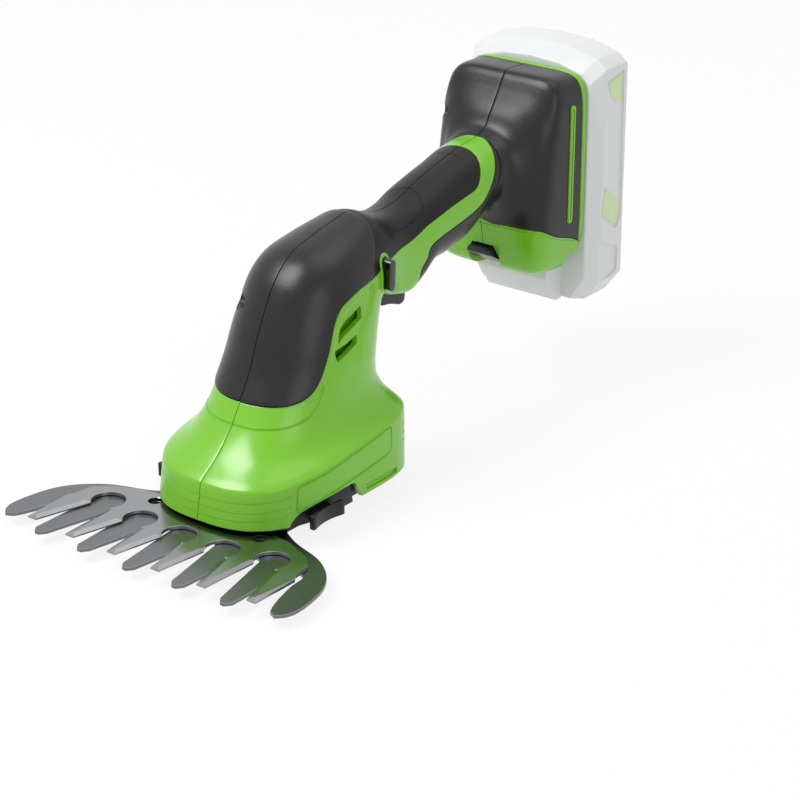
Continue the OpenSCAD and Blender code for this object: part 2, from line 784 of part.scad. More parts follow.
// The yoke rides on the upper blade: an oblong ring across the line of the stroke
yoke_slack = 2.4;
yoke_wall = 3;
yoke_tab = 5;
rivet_r = 1.5;
yoke_half = crank_pin_r + yoke_slack;
yoke_reach = crank_r + crank_pin_r + clear;
yoke_far = yoke_reach + yoke_half - crank_pin_r;
yoke_arm = yoke_half + yoke_wall + yoke_tab;
// Two headed studs in front of the yoke and behind it guide the stroke
stud_r = 2.6;
stud_lip = 1.6;
stud_head_r = stud_r + stud_lip;
stud_gap = 1.1;
stud_run = yoke_far + yoke_wall + stud_head_r + stud_gap;
stud_ys = [gear_y - stud_run, gear_y + stud_run];
module lower_blade() {
    color(dark_steel) translate([0, 0, lower_z]) difference() {
        linear_extrude(blade_t) polygon(concat(lower_right, lower_front(), flipped(lower_right)));
        for (y = stud_ys) translate([0, y, -over]) cylinder(r = stud_r, h = blade_t + 2 * over);
    }
}

// Upper comb: fanned teeth with keyhole gullets, rocked sideways by the yoke
upper_tip_shares = [0.154, 0.462, 0.770];
upper_reach_shares = [0.947, 0.939, 0.913];
upper_gullet_x_share = 0.2895;
upper_gullet_shares = [0.644, 0.633, 0.583];
upper_tip_w = 4.4;
mouth_half_share = 0.712;
upper_side_shares = [
    [0.807, 0.660], [0.783, 0.628], [0.770, 0.533], [0.697, 0.472], [0.530, 0.409], [0.395, 0.394],
    [0.257, 0.368], [0.237, -0.267]
];
function upper_gullet(k) =
    let (half = acos(mouth_half_share))
    arc_points(
        [half_blade * upper_gullet_x_share * k, -blade_reach * upper_gullet_shares[abs(k)]],
        gullet_r, -half, 180 + half, gullet_steps * 2
    );
function upper_tip(k) =
    let (
        i = abs(k) - 1,
        x = half_blade * upper_tip_shares[i] * sign_of(k),
        y = -blade_reach * upper_reach_shares[i]
    )
    [[x + upper_tip_w / 2, y], [x - upper_tip_w / 2, y]];
upper_right = [for (p = reversed(upper_side_shares)) plan(p)];
function upper_front() = joined([for (k = [3, 2, 1, -1, -2, -3])
    concat(upper_tip(k), k > -3 ? upper_gullet(k > 0 ? k - 1 : k) : [])]);
sight_shares = [0.370, 0.460];
sight_place = plan(sight_shares);
module upper_blade() {
    color(steel) translate([0, 0, upper_z]) difference() {
        linear_extrude(blade_t) polygon(concat(upper_right, upper_front(), flipped(upper_right)));
        for (x = [-sight_place[0], sight_place[0]])
            translate([x, sight_place[1], -over]) cylinder(r = sight_r, h = blade_t + 2 * over);
        for (y = stud_ys) {
            for (x = [-crank_r, crank_r])
                translate([x, y, -over]) cylinder(r = stud_r + clear, h = blade_t + 2 * over);
            translate([-crank_r, y - stud_r - clear, -over])
                cube([2 * crank_r, 2 * (stud_r + clear), blade_t + 2 * over]);
        }
        translate([0, gear_y, -over]) cylinder(r = crank_r + crank_pin_r + clear, h = blade_t + 2 * over);
    }
}
module guide_studs() {
    color(steel) for (y = stud_ys) translate([0, y, 0]) {
        cylinder(r = stud_r, h = upper_z + blade_t + clear);
        translate([0, 0, upper_z + blade_t + clear]) cylinder(r = stud_head_r, h = yoke_t / 2);
    }
}

module yoke_oval(half, far) {
    for (e = [-1, 1]) translate([0, e * (far - half), 0]) circle(r = half);
    square([2 * half, 2 * (far - half)], center = true);
}
module drive_yoke() {
    color(steel) translate([0, gear_y, yoke_z]) difference() {
        union() {
            linear_extrude(yoke_t) yoke_oval(yoke_half + yoke_wall, yoke_far + yoke_wall);
            linear_extrude(yoke_t) translate([-yoke_arm - rivet_r * 2, -yoke_tab])
                square([2 * (yoke_arm + rivet_r * 2), 2 * yoke_tab]);
        }
        translate([0, 0, -over]) linear_extrude(yoke_t + 2 * over) yoke_oval(yoke_half, yoke_far);
        for (x = [-yoke_arm, yoke_arm]) translate([x, 0, -over]) cylinder(r = rivet_r, h = yoke_t + 2 * over);
    }
}
module yoke_rivets() {
    color(steel) for (x = [-yoke_arm, yoke_arm])
        translate([x, gear_y, yoke_z]) cylinder(r = rivet_r, h = yoke_t);
}

// The cutter's mount plate: windows for the release hooks and tabs at the rear
mount_shares = [[0, -0.228], [0.54, -0.228], [0.60, -0.190], [0.60, 0.170], [0.54, 0.212], [0, 0.222]];
window_shares = [0.420, 0.120];
window_w = 8;
tab_xs_share = [0.14, 0.42];
tab_w = 9;
tab_l = 5;
module mount_plate() {
    right = [for (p = mount_shares) [half_w * p[0], reach * p[1]]];
    color(charcoal) difference() {
        union() {
            linear_extrude(plate_t) polygon(concat(right, flipped(right)));
            for (s = [-1, 1]) for (t = tab_xs_share)
                translate([s * half_w * t - tab_w / 2, reach * mount_shares[5][1] - tab_l, 0])
                    cube([tab_w, 2 * tab_l, plate_t / 2]);
        }
        for (s = [-1, 1])
            translate([s * half_w * window_shares[0] - window_w / 2, reach * window_shares[1], -over])
                cube([window_w, window_w, plate_t + 2 * over]);
        for (y = stud_ys) translate([0, y, -over]) cylinder(r = stud_r, h = plate_t + 2 * over);
    }
}

// Controls

thumb_share = 1.6;
thumb_r = button_w * thumb_share;
thumb_dip = 1;
spring_room = 5;
module release_button(side) {
    color(charcoal) mirrored(side) {
        difference() {
            box(
                [button_in + button_press, button_y - button_w / 2, button_z],
                [button_out, button_y + button_w / 2, button_z + button_h]
            );
            translate([button_out + thumb_r - thumb_dip, button_y, button_z - over])
                cylinder(r = thumb_r, h = button_h + 2 * over);
        }
        box(
            [pocket_in + spring_room, button_y - stem_w / 2, stem_z],
            [button_in + button_press, button_y + stem_w / 2, stem_z + stem_h]
        );
    }
}

// A coil spring along +Z as one swept tube
rings_per_turn = 8;
function coil_point(r, turns, h, t) = [r * cos(360 * turns * t), r * sin(360 * turns * t), h * t];
function coil_rings(r, wire, turns, h, sides) =
    let (count = ceil(turns * rings_per_turn))
    joined([for (i = [0 : count])
        let (t = i / count, c = coil_point(r, turns, h, t), a = 360 * turns * t)
        [for (k = [0 : sides - 1]) let (b = 360 * k / sides)
            c + wire / 2 * [cos(b) * cos(a), cos(b) * sin(a), sin(b)]]]);
coil_sides = 6;
module coil(r, wire, turns, h) {
    count = ceil(turns * rings_per_turn) + 1;
    translate([0, 0, wire / 2]) polyhedron(
        coil_rings(r, wire, turns, h - wire, coil_sides),
        concat(
            side_faces(count, coil_sides),
            [for (k = [1 : coil_sides - 2]) [0, k + 1, k]],
            [for (k = [1 : coil_sides - 2]) let (b = (count - 1) * coil_sides) [b, b + k, b + k + 1]]
        )
    );
}
spring_wire = 0.6;
wire_seat = 0.05;
spring_turns = 3;
spring_r = 1.7;

module trigger() {
    color(charcoal) difference() {
        across(side_points(trigger_shares), -trigger_w / 2, trigger_w / 2);
        cross_bar(trigger_pivot[0], trigger_pivot[1], pin_r + run_fit, -trigger_w, trigger_w);
    }
}
module trigger_pin() {
    half = trigger_gap + boss_r;
    color(steel) cross_bar(trigger_pivot[0], trigger_pivot[1], pin_r, -half, half);
}
switch_shares = [[0.408, 0.536], [0.594, 0.680]];
switch_w = 12;
spring_y_share = 0.430;
module switch_body() {
    low = side_place([switch_shares[0][0], switch_shares[1][0]]);
    high = side_place([switch_shares[0][1], switch_shares[1][1]]);
    color(charcoal) box([-switch_w / 2, low[0], low[1]], [switch_w / 2, high[0], high[1]]);
}
module trigger_spring() {
    foot = body_h * trigger_shares[0][1] + wire_seat;
    head = body_h * switch_shares[1][0] - wire_seat;
    gap = (head - foot - spring_wire) / spring_turns - spring_wire;
    echo(str("trigger spring, least gap between turns: ", gap));
    color(steel) translate([0, reach * spring_y_share, foot])
        coil(spring_r, spring_wire, spring_turns, head - foot);
}
lock_out_share = 0.641;
lock_out = half_w * lock_out_share;
module lock_off_bar() {
    color(charcoal) side_pill(lock_low, lock_high, lock_w, -lock_out, lock_out);
}
module battery_latch() {
    color(charcoal) difference() {
        across(side_points(latch_shares), -latch_w / 2, latch_w / 2);
        cross_bar(latch_pivot[0], latch_pivot[1], latch_pin_r + run_fit, -latch_w, latch_w);
    }
}
module latch_pin() {
    half = latch_w / 2 + clear + cheek_t;
    color(steel) cross_bar(latch_pivot[0], latch_pivot[1], latch_pin_r, -half, half);
}

// Battery dock and pack

run_in = 1;
pack_y = reach * ring_shares[mouth_row][0] + rim_t + clear;
socket_ys_share = [0.894, 0.908];
socket_plate = [reach * socket_ys_share[0], reach * socket_ys_share[1]];
socket_half = dock_half - 2 * wall - run_in;
socket_shares = [[0.70, 0.459], [0.86, 0.587], [0.86, 0.813], [0.70, 0.913]];
function socket_right() = [for (p = socket_shares) [dock_half * p[0], body_h * p[1]]];
rail_ys_share = [0.944, 0.967];
rail_in_share = 0.85;
rail_zs_share = [0.453, 0.880];
block_half_share = 0.36;
block_half = tongue_w * block_half_share;
block_zs_share = [0.905, 0.952];
block_back_share = 0.989;
blade_xs_share = [-0.66, -0.22, 0.22, 0.66];
contact_t = 0.8;
contact_l = 8;
contact_z_share = 0.830;
tongue_zs_share = [0.427, 0.893];
tongue_half = tongue_w / 2;
module battery_socket() {
    rails = [reach * rail_ys_share[0], reach * rail_ys_share[1]];
    color(charcoal) {
        difference() {
            union() {
                translate([0, socket_plate[1], 0]) rotate([90, 0, 0])
                    linear_extrude(socket_plate[1] - socket_plate[0])
                        polygon(concat(socket_right(), flipped(socket_right())));
                box(
                    [-block_half, socket_plate[0], body_h * block_zs_share[0]],
                    [block_half, reach * block_back_share, body_h * block_zs_share[1]]
                );
                for (side = ["left", "right"]) mirrored(side) {
                    box(
                        [tongue_half * rail_in_share, rails[0], body_h * rail_zs_share[0]],
                        [socket_half, rails[1], body_h * rail_zs_share[1]]
                    );
                    box(
                        [tongue_half + clear, socket_plate[0], body_h * rail_zs_share[0]],
                        [socket_half, rails[1], body_h * rail_zs_share[1]]
                    );
                }
            }
            for (b = blade_xs_share) contact_bar(b, 0, body_h * block_zs_share[1] + over);
        }
    }
}
contact_y = reach * (socket_ys_share[1] + block_back_share) / 2;
module contact_bar(place, grow, top) {
    translate([
        block_half * place - contact_t / 2 - grow,
        contact_y - contact_l / 2 - grow,
        body_h * contact_z_share - grow
    ]) cube([contact_t + 2 * grow, contact_l + 2 * grow, top - body_h * contact_z_share + grow]);
}
module socket_blades() {
    color(brass) for (b = blade_xs_share) contact_bar(b, 0, body_h * block_zs_share[1]);
}

// The pack's outline seen from the front, as shares of half its width and of its height
pack_shares = [[0, 0], [0.80, 0], [1, 0.095], [1, 0.885], [0.82, 0.975], [0.33, 1], [0, 1]];
pack_bevel = 1.6;
function pack_ring(inset, y) =
    let (
        half = pack_w / 2 - inset,
        tall = pack_h - 2 * inset,
        right = [for (p = pack_shares) [half * p[0], pack_z + inset + tall * p[1]]],
        all = concat(right, [for (i = [len(right) - 2 : -1 : 1]) [-right[i][0], right[i][1]]])
    )
    [for (p = all) [p[0], y, p[1]]];
pack_corners = 2 * len(pack_shares) - 2;
module pack_loft(insets, ys) {
    n = pack_corners;
    last = (len(ys) - 1) * n;
    polyhedron(
        joined([for (i = [0 : len(ys) - 1]) pack_ring(insets[i], ys[i])]),
        concat(
            side_faces(len(ys), n),
            [for (k = [1 : n - 2]) [0, k + 1, k]],
            [for (k = [1 : n - 2]) [last, last + k, last + k + 1]]
        )
    );
}
cell_gap = 0.4;
cell_pitch = 2 * cell_r + cell_gap;
cell_zs = [for (i = [0 : cell_count - 1]) pack_z + pack_h / 2 + cell_pitch * (i - (cell_count - 1) / 2)];
pack_mid = pack_y + pack_t / 2;
cell_room = [cell_l / 2 + clear, cell_r + clear, cell_zs[cell_count - 1] - cell_zs[0] + 2 * (cell_r + clear)];
module cell_space() {
    box(
        [-cell_room[0], pack_mid - cell_room[1], cell_zs[0] - cell_r - clear],
        [cell_room[0], pack_mid + cell_room[1], cell_zs[0] - cell_r - clear + cell_room[2]]
    );
}
clip_t = 0.5;
module pack_front() {
    groove = [reach * rail_ys_share[0] - clear, reach * rail_ys_share[1] + clear];
    tongue_z = [body_h * tongue_zs_share[0], body_h * tongue_zs_share[1]];
    color(pale) difference() {
        union() {
            pack_loft([pack_bevel, 0, 0], [pack_y, pack_y + 2 * pack_bevel, pack_mid]);
            box(
                [-tongue_half, socket_plate[1] + clear, tongue_z[0]],
                [tongue_half, pack_y + pack_wall, tongue_z[1]]
            );
        }
        cell_space();
        for (side = ["left", "right"]) mirrored(side)
            box(
                [tongue_half * rail_in_share - clear, groove[0], tongue_z[0] - over],
                [half_w, groove[1], tongue_z[1] + over]
            );
        for (b = blade_xs_share) contact_bar(b, clear + clip_t, body_h);
    }
}
module pack_back() {
    color(pale) difference() {
        pack_loft([0, 0, pack_bevel], [pack_mid, pack_y + pack_t - pack_bevel, pack_y + pack_t]);
        cell_space();
    }
}
module pack_cells() {
    color(steel) for (z = cell_zs) cross_bar(pack_mid, z, cell_r, -cell_l / 2, cell_l / 2);
}
module pack_clips() {
    gap = contact_t / 2 + clear;
    top = body_h * tongue_zs_share[1] - clear;
    foot = body_h * contact_z_share - clear - clip_t;
    color(brass) for (b = blade_xs_share) for (s = [0, 1])
        translate([block_half * b + (s == 0 ? -gap - clip_t : gap), contact_y - contact_l / 2, foot])
            cube([clip_t, contact_l, top - foot]);
}

body_shell("left");  // body_shell_left
body_shell("right");  // body_shell_right
hood("left");  // hood_left
hood("right");  // hood_right
grip("left");  // grip_left
grip("right");  // grip_right
under_grip("left");  // under_grip_left
under_grip("right");  // under_grip_right
dock_shell("left");  // dock_shell_left
dock_shell("right");  // dock_shell_right
dock_skirt("left");  // dock_skirt_left
dock_skirt("right");  // dock_skirt_right
dock_rim();
side_accents();
housing_screws();
base_cover();
gear_frame();
frame_screws();
motor_can();
motor_shaft();
pinion();
drive_gear();
crank_pin();
gear_axle();
mount_plate();
lower_blade();
upper_blade();
drive_yoke();
guide_studs();
yoke_rivets();
release_button("left");  // release_button_left
release_button("right");  // release_button_right
trigger();
trigger_pin();
trigger_spring();
switch_body();
lock_off_bar();
battery_latch();
latch_pin();
battery_socket();
socket_blades();
pack_front();
pack_back();
pack_cells();
pack_clips();
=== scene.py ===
"""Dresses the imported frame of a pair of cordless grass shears.

The mouldings are smooth lofts of the body's ring table, trimmed along the seams that the side view shows.
The two combs get their ground edges, the battery pack its rounded case, and every node its own finish.
"""

from __future__ import annotations

import json
import logging
import math
from dataclasses import dataclass, field
from enum import Enum

import bmesh
import bpy
import numpy as np
from mathutils import Matrix, Vector
from mathutils.geometry import tessellate_polygon

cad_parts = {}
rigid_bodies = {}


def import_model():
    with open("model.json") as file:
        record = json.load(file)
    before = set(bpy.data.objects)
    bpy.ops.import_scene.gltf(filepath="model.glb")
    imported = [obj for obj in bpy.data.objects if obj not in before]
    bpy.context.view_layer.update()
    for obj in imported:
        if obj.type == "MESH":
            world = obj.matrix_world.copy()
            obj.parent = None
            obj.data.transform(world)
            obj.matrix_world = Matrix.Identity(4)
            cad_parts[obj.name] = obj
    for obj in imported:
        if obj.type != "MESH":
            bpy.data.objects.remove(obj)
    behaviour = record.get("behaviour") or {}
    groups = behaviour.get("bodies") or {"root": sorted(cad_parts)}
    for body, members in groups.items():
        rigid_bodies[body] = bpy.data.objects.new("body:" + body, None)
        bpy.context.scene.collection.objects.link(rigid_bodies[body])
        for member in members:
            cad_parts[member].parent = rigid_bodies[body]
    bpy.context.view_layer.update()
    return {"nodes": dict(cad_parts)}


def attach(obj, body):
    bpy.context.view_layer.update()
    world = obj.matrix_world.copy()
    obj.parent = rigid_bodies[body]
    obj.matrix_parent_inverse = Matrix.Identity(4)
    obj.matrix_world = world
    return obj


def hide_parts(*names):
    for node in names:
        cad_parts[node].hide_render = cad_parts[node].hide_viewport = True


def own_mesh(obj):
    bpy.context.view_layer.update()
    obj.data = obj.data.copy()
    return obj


LOG = logging.getLogger("shears")
MM = 0.001
TINY = 1e-6
WHITE = (1.0, 1.0, 1.0, 1.0)
Array = np.ndarray
Piece = bpy.types.Object


class Side(Enum):
    """The two sides of the parting plane."""

    LEFT = -1
    RIGHT = 1

    @property
    def tag(self) -> str:
        """The side as it stands in a piece's name."""
        return self.name.lower()


# Finishes


def linear(hex_colour: str) -> tuple[float, float, float, float]:
    """Turns an sRGB hex colour to linear light.

    Args:
        hex_colour: six hex digits after a hash sign.

    Returns:
        Red, green, blue and a full alpha.
    """
    parts = np.array([int(hex_colour[i : i + 2], 16) for i in (1, 3, 5)]) / 255.0
    light = np.where(parts <= 0.04045, parts / 12.92, ((parts + 0.055) / 1.055) ** 2.4)
    return (float(light[0]), float(light[1]), float(light[2]), 1.0)


def add_node(tree: bpy.types.NodeTree, kind: str, inputs: dict | None = None, **settings: object) -> bpy.types.Node:
    """Adds a shader node with its settings, and sets or links its inputs.

    Args:
        tree: the node tree to add to.
        kind: Blender's type name of the node.
        inputs: input name or index to a constant, or to the socket that feeds it.
        settings: attributes of the node itself.

    Returns:
        The new node.
    """
    node = tree.nodes.new(kind)
    for key, value in settings.items():
        setattr(node, key, value)
    for key, value in (inputs or {}).items():
        if isinstance(value, bpy.types.NodeSocket):
            tree.links.new(value, node.inputs[key])
        else:
            node.inputs[key].default_value = value
    return node


def bare_tree(owner: bpy.types.Material | bpy.types.World) -> bpy.types.NodeTree:
    """Turns on the nodes of a material or world, and empties its tree."""
    owner.use_nodes = True
    owner.node_tree.nodes.clear()
    return owner.node_tree


@dataclass(frozen=True)
class Finish:
    """A surface with a base colour, gloss and a fine relief, read on Object coordinates.

    Attributes:
        name: the material's name, from what the real one is.
        slot: the record's material slot.
        colour: sRGB hex of the lit surface.
        shade: sRGB hex that the colour drifts to in broad soft patches.
        roughness: mean roughness.
        spread: how far the roughness drifts from its mean.
        grain_mm: size of the moulded or ground grain.
        grain_depth: strength of the grain's bump.
        metallic: one for bare metal.
        stretch: how far the grain is drawn out along X, Y and Z.
        coat: a clear skin's weight.
        coat_roughness: the clear skin's roughness.
        patch_mm: size of the broad soft patches.
        specular: strength of the mirror part, a half for plain plastic.
    """

    name: str
    slot: str
    colour: str
    shade: str
    roughness: float
    spread: float = 0.06
    grain_mm: float = 0.5
    grain_depth: float = 0.08
    metallic: float = 0.0
    stretch: tuple[float, float, float] = (1.0, 1.0, 1.0)
    coat: float = 0.0
    coat_roughness: float = 0.12
    patch_mm: float = 26.0
    specular: float = 0.5

    def material(self) -> bpy.types.Material:
        """Builds the node material, or returns it if it is already there."""
        if self.name in bpy.data.materials:
            return bpy.data.materials[self.name]
        made = bpy.data.materials.new(self.name)
        tree = bare_tree(made)
        place = add_node(tree, "ShaderNodeTexCoord").outputs["Object"]
        drawn = add_node(tree, "ShaderNodeMapping", {"Vector": place, "Scale": self.stretch}).outputs["Vector"]
        grain_scale, patch_scale = 1.0 / (self.grain_mm * MM), 1.0 / (self.patch_mm * MM)
        grain = add_node(
            tree, "ShaderNodeTexNoise", {"Vector": drawn, "Scale": grain_scale, "Detail": 2.0, "Roughness": 0.6}
        ).outputs["Fac"]
        patch = add_node(
            tree, "ShaderNodeTexNoise", {"Vector": place, "Scale": patch_scale, "Detail": 3.0}
        ).outputs["Fac"]
        ends = {"Factor": patch, "A": linear(self.colour), "B": linear(self.shade)}
        tint = add_node(tree, "ShaderNodeMix", ends, data_type="RGBA")
        ends = {"Value": grain, 3: self.roughness - self.spread, 4: self.roughness + self.spread}
        gloss = add_node(tree, "ShaderNodeMapRange", ends).outputs["Result"]
        depth = {"Height": grain, "Strength": self.grain_depth, "Distance": self.grain_mm * MM}
        relief = add_node(tree, "ShaderNodeBump", depth).outputs["Normal"]
        skin = add_node(
            tree,
            "ShaderNodeBsdfPrincipled",
            {
                "Base Color": tint.outputs["Result"],
                "Roughness": gloss,
                "Metallic": self.metallic,
                "Normal": relief,
                "Specular IOR Level": self.specular,
                "Coat Weight": self.coat,
                "Coat Roughness": self.coat_roughness,
            },
        )
        add_node(tree, "ShaderNodeOutputMaterial", {"Surface": skin.outputs["BSDF"]})
        return made

    def dress(self, piece: Piece) -> None:
        """Gives the piece this finish as its only material."""
        piece.data.materials.clear()
        piece.data.materials.append(self.material())


# Injection-moulded ABS in body colour: satin, with a spark-eroded grain too fine to see, drawn coarse.
GREEN_ABS = Finish("moulded_green_abs", "green_plastic", "#77c11a", "#70b718", 0.24, 0.03, 0.45, 0.03, coat=0.15)
# Injection-moulded glass-filled nylon: charcoal, satin, with the same fine mould grain.
CHARCOAL_NYLON = Finish(
    "moulded_charcoal_nylon", "charcoal_plastic", "#161617", "#141415", 0.29, 0.05, 0.40, 0.10, specular=0.38
)
# Overmoulded thermoplastic rubber: a little darker and duller than the nylon beside it.
SOFT_RUBBER = Finish("overmoulded_soft_rubber", "grip", "#121213", "#101011", 0.38, 0.06, 0.50, 0.14, specular=0.25)
# Black nylon of the parts under the head, plain from the mould.
BLACK_NYLON = Finish(
    "moulded_black_nylon", "charcoal_plastic", "#121213", "#101011", 0.40, 0.05, 0.45, 0.10, specular=0.35
)
# Polished black nylon of the lock-off bar.
GLOSS_NYLON = Finish("polished_black_nylon", "charcoal_plastic", "#101011", "#0d0d0e", 0.16, 0.03, 0.45, 0.02, coat=0.3)
# Spring steel, surface ground across the comb: long fine scratches give a streaked highlight.
GROUND_STEEL = Finish(
    "surface_ground_steel", "bright_steel", "#9a9b9e", "#949698", 0.22, 0.04, 0.30, 0.015, 1.0, (1.0, 0.06, 1.0)
)
# Rolled spring steel as it leaves the mill: greyer and duller than the ground comb above it.
ROLLED_STEEL = Finish(
    "rolled_spring_steel", "dark_steel", "#797b7e", "#737578", 0.30, 0.05, 0.35, 0.02, 1.0, (0.08, 1.0, 1.0)
)
# Turned free-cutting brass of gears and contacts.
TURNED_BRASS = Finish("turned_brass", "brass", "#c9a95a", "#bd9c50", 0.30, 0.06, 0.30, 0.05, 1.0)
# Zinc-plated steel of screws and pins.
ZINC_STEEL = Finish("zinc_plated_steel", "bright_steel", "#b4b6b8", "#a6a8ab", 0.32, 0.06, 0.30, 0.05, 1.0)
# Pale grey ABS of the battery case, semi-gloss.
PALE_ABS = Finish("moulded_pale_grey_abs", "pale_plastic", "#e2e3e4", "#dcddde", 0.34, 0.04, 0.45, 0.05)
# Pale green ABS of the battery's side inlays.
PALE_GREEN_ABS = Finish("moulded_pale_green_abs", "pale_plastic", "#d5e8b4", "#cfe2ad", 0.36, 0.04, 0.45, 0.05)


# Curves and surfaces, all in millimetres until a mesh is made


def spline(points: Array, steps: int) -> Array:
    """Runs a Catmull-Rom curve through rows of numbers.

    Args:
        points: the rows that the curve passes through.
        steps: samples from each row to the next.

    Returns:
        The sampled rows, both ends included.
    """
    last = len(points) - 1
    u = np.linspace(0, last, last * steps + 1)
    i = np.minimum(u.astype(int), last - 1)
    return catmull(points, i, (u - i)[:, None], 0)


def catmull(points: Array, i: Array, t: Array, low: int) -> Array:
    """Cubic between rows i and i + 1 that leaves each row along its neighbours' chord; t runs from 0 to 1."""
    last = len(points) - 1
    a, b = points[np.maximum(i - 1, low)], points[i]
    c, d = points[i + 1], points[np.minimum(i + 2, last)]
    return (2 * b + (c - a) * t + (2 * a - 5 * b + 4 * c - d) * t**2 + (3 * b - a - 3 * c + d) * t**3) / 2


def resample(curve: Array, count: int, place: Array | None = None) -> Array:
    """Spreads samples evenly by length along a polyline.

    Args:
        curve: the rows to sample.
        count: number of samples.
        place: the points between which the length is measured, or nothing for the rows themselves.

    Returns:
        That many rows, both ends included.
    """
    steps = np.diff(curve if place is None else place, axis=0)
    run = np.concatenate([[0.0], np.cumsum(np.linalg.norm(steps, axis=1))])
    at = np.linspace(0, run[-1], count)
    return np.stack([np.interp(at, run, curve[:, k]) for k in range(curve.shape[1])], axis=1)


def unit(rows: Array) -> Array:
    """The rows at length one."""
    return rows / np.maximum(np.linalg.norm(rows, axis=1), 1e-12)[:, None]


def closed(rows: Array, axis: int = 0) -> Array:
    """An array with its first row, or column, repeated at the end."""
    return np.concatenate([rows, np.take(rows, [0], axis)], axis)


def coons(bottom: Array, top: Array, left: Array, right: Array) -> Array:
    """Fills four edge curves: the two ruled grids between opposite edges, less the one between the corners.

    Args:
        bottom: n rows from the left corner to the right.
        top: n rows from the left corner to the right.
        left: m rows from bottom to top.
        right: m rows from bottom to top.

    Returns:
        An m by n grid of rows that keeps all four edges.
    """
    s = np.linspace(0, 1, len(bottom))[None, :, None]
    t = np.linspace(0, 1, len(left))[:, None, None]
    ruled = (1 - t) * bottom[None] + t * top[None] + (1 - s) * left[:, None] + s * right[:, None]
    corner = (1 - t) * ((1 - s) * bottom[0] + s * bottom[-1]) + t * ((1 - s) * top[0] + s * top[-1])
    return ruled - corner


def quads_between(at: Array) -> Array:
    """Corner numbers of the quads of a grid of point numbers."""
    return np.stack([at[:-1, :-1], at[:-1, 1:], at[1:, 1:], at[1:, :-1]], axis=-1).reshape(-1, 4)


def grid_quads(rows: int, columns: int, start: int = 0) -> Array:
    """Corner numbers of the quads of a grid of points, whose numbers begin at start."""
    return quads_between(start + np.arange(rows * columns).reshape(rows, columns))


def wall_quads(n: int, start: int = 0) -> list:
    """Corner numbers of the quads between two closed loops of n points each, whose numbers begin at start."""
    ring = start + np.arange(n)
    ahead = np.roll(ring, -1)
    return np.stack([ring, ahead, ahead + n, ring + n], axis=1).tolist()


def rounded(points: Array, radius: float, steps: int = 5) -> Array:
    """Rounds the corners of a closed outline: each corner becomes a parabola that leaves its two sides smoothly.

    Args:
        points: corners of the outline.
        radius: how far along each side the curve begins, at most half the side.
        steps: samples of each corner.

    Returns:
        The rounded outline.
    """
    start, end = (
        points + unit(side) * np.minimum(radius, np.linalg.norm(side, axis=1) * 0.48)[:, None]
        for side in (np.roll(points, 1, axis=0) - points, np.roll(points, -1, axis=0) - points)
    )
    t = np.linspace(0, 1, steps)[None, :, None]
    curve = (1 - t) ** 2 * start[:, None] + 2 * t * (1 - t) * points[:, None] + t**2 * end[:, None]
    return curve.reshape(-1, points.shape[1])


def arc(centre: Array, radius: float, first: float, last: float, steps: int) -> Array:
    """Points of a circle from one angle to another, in degrees."""
    turn = np.radians(np.linspace(first, last, steps + 1))
    return np.asarray(centre) + radius * np.stack([np.cos(turn), np.sin(turn)], axis=1)


def circle(centre: Array, radius: float, count: int = 24) -> Array:
    """Points of a whole circle, with no point twice."""
    return arc(centre, radius, 0, 360 - 360 / count, count - 1)


def rectangle(low: tuple, high: tuple) -> Array:
    """Corners of an upright rectangle, counter-clockwise from the lowest."""
    (y0, z0), (y1, z1) = low, high
    return np.array([(y0, z0), (y1, z0), (y1, z1), (y0, z1)])


def pill(a: Array, b: Array, radius: float, steps: int = 14) -> Array:
    """Outline of a bar with round ends between two points."""
    run = np.asarray(b) - np.asarray(a)
    turn = math.degrees(math.atan2(run[1], run[0]))
    return np.concatenate(
        [arc(b, radius, turn - 90, turn + 90, steps), arc(a, radius, turn + 90, turn + 270, steps)]
    )


def outward(points: Array) -> Array:
    """Mitred normals of a closed counter-clockwise outline: the normals of each vertex's two sides, averaged and
    lengthened so that an offset keeps its width."""
    side = np.roll(points, -1, axis=0) - points
    normal = unit(np.stack([side[:, 1], -side[:, 0]], axis=1))
    both = normal + np.roll(normal, 1, axis=0)
    return both / np.maximum((both**2).sum(1) / 2, 0.35)[:, None]


def counter_clockwise(points: Array) -> Array:
    """The same outline, turned round if its area is negative."""
    x, y = points[:, 0], points[:, 1]
    area = (x * np.roll(y, -1) - np.roll(x, -1) * y).sum()
    return points if area > 0 else points[::-1]


# Meshes


def make_mesh(name: str, points: Array, faces: list, weld: float = 0.0) -> Piece:
    """Makes an object from points in millimetres.

    Args:
        name: the piece's name.
        points: rows of x, y, z.
        faces: lists of corner numbers.
        weld: distance in millimetres under which points are merged, or nothing.

    Returns:
        The linked object, at the origin.
    """
    mesh = bpy.data.meshes.new(name)
    mesh.from_pydata((np.asarray(points) * MM).tolist(), [], [list(map(int, f)) for f in faces])
    mesh.validate()
    if weld > 0:
        work = bmesh.new()
        work.from_mesh(mesh)
        bmesh.ops.remove_doubles(work, verts=work.verts, dist=weld * MM)
        bmesh.ops.dissolve_degenerate(work, edges=work.edges, dist=weld * MM / 10)
        work.to_mesh(mesh)
        work.free()
    piece = bpy.data.objects.new(name, mesh)
    bpy.context.scene.collection.objects.link(piece)
    return piece


def recalculated(piece: Piece) -> Piece:
    """Turns the faces of a closed piece outwards."""
    work = bmesh.new()
    work.from_mesh(piece.data)
    bmesh.ops.recalc_face_normals(work, faces=work.faces)
    work.to_mesh(piece.data)
    work.free()
    return piece


def smooth(piece: Piece, angle: float = 32.0) -> Piece:
    """Shades a piece smooth, with an edge where two faces meet at more than the angle."""
    piece.data.shade_smooth()
    piece.data.set_sharp_from_angle(angle=math.radians(angle))
    return piece


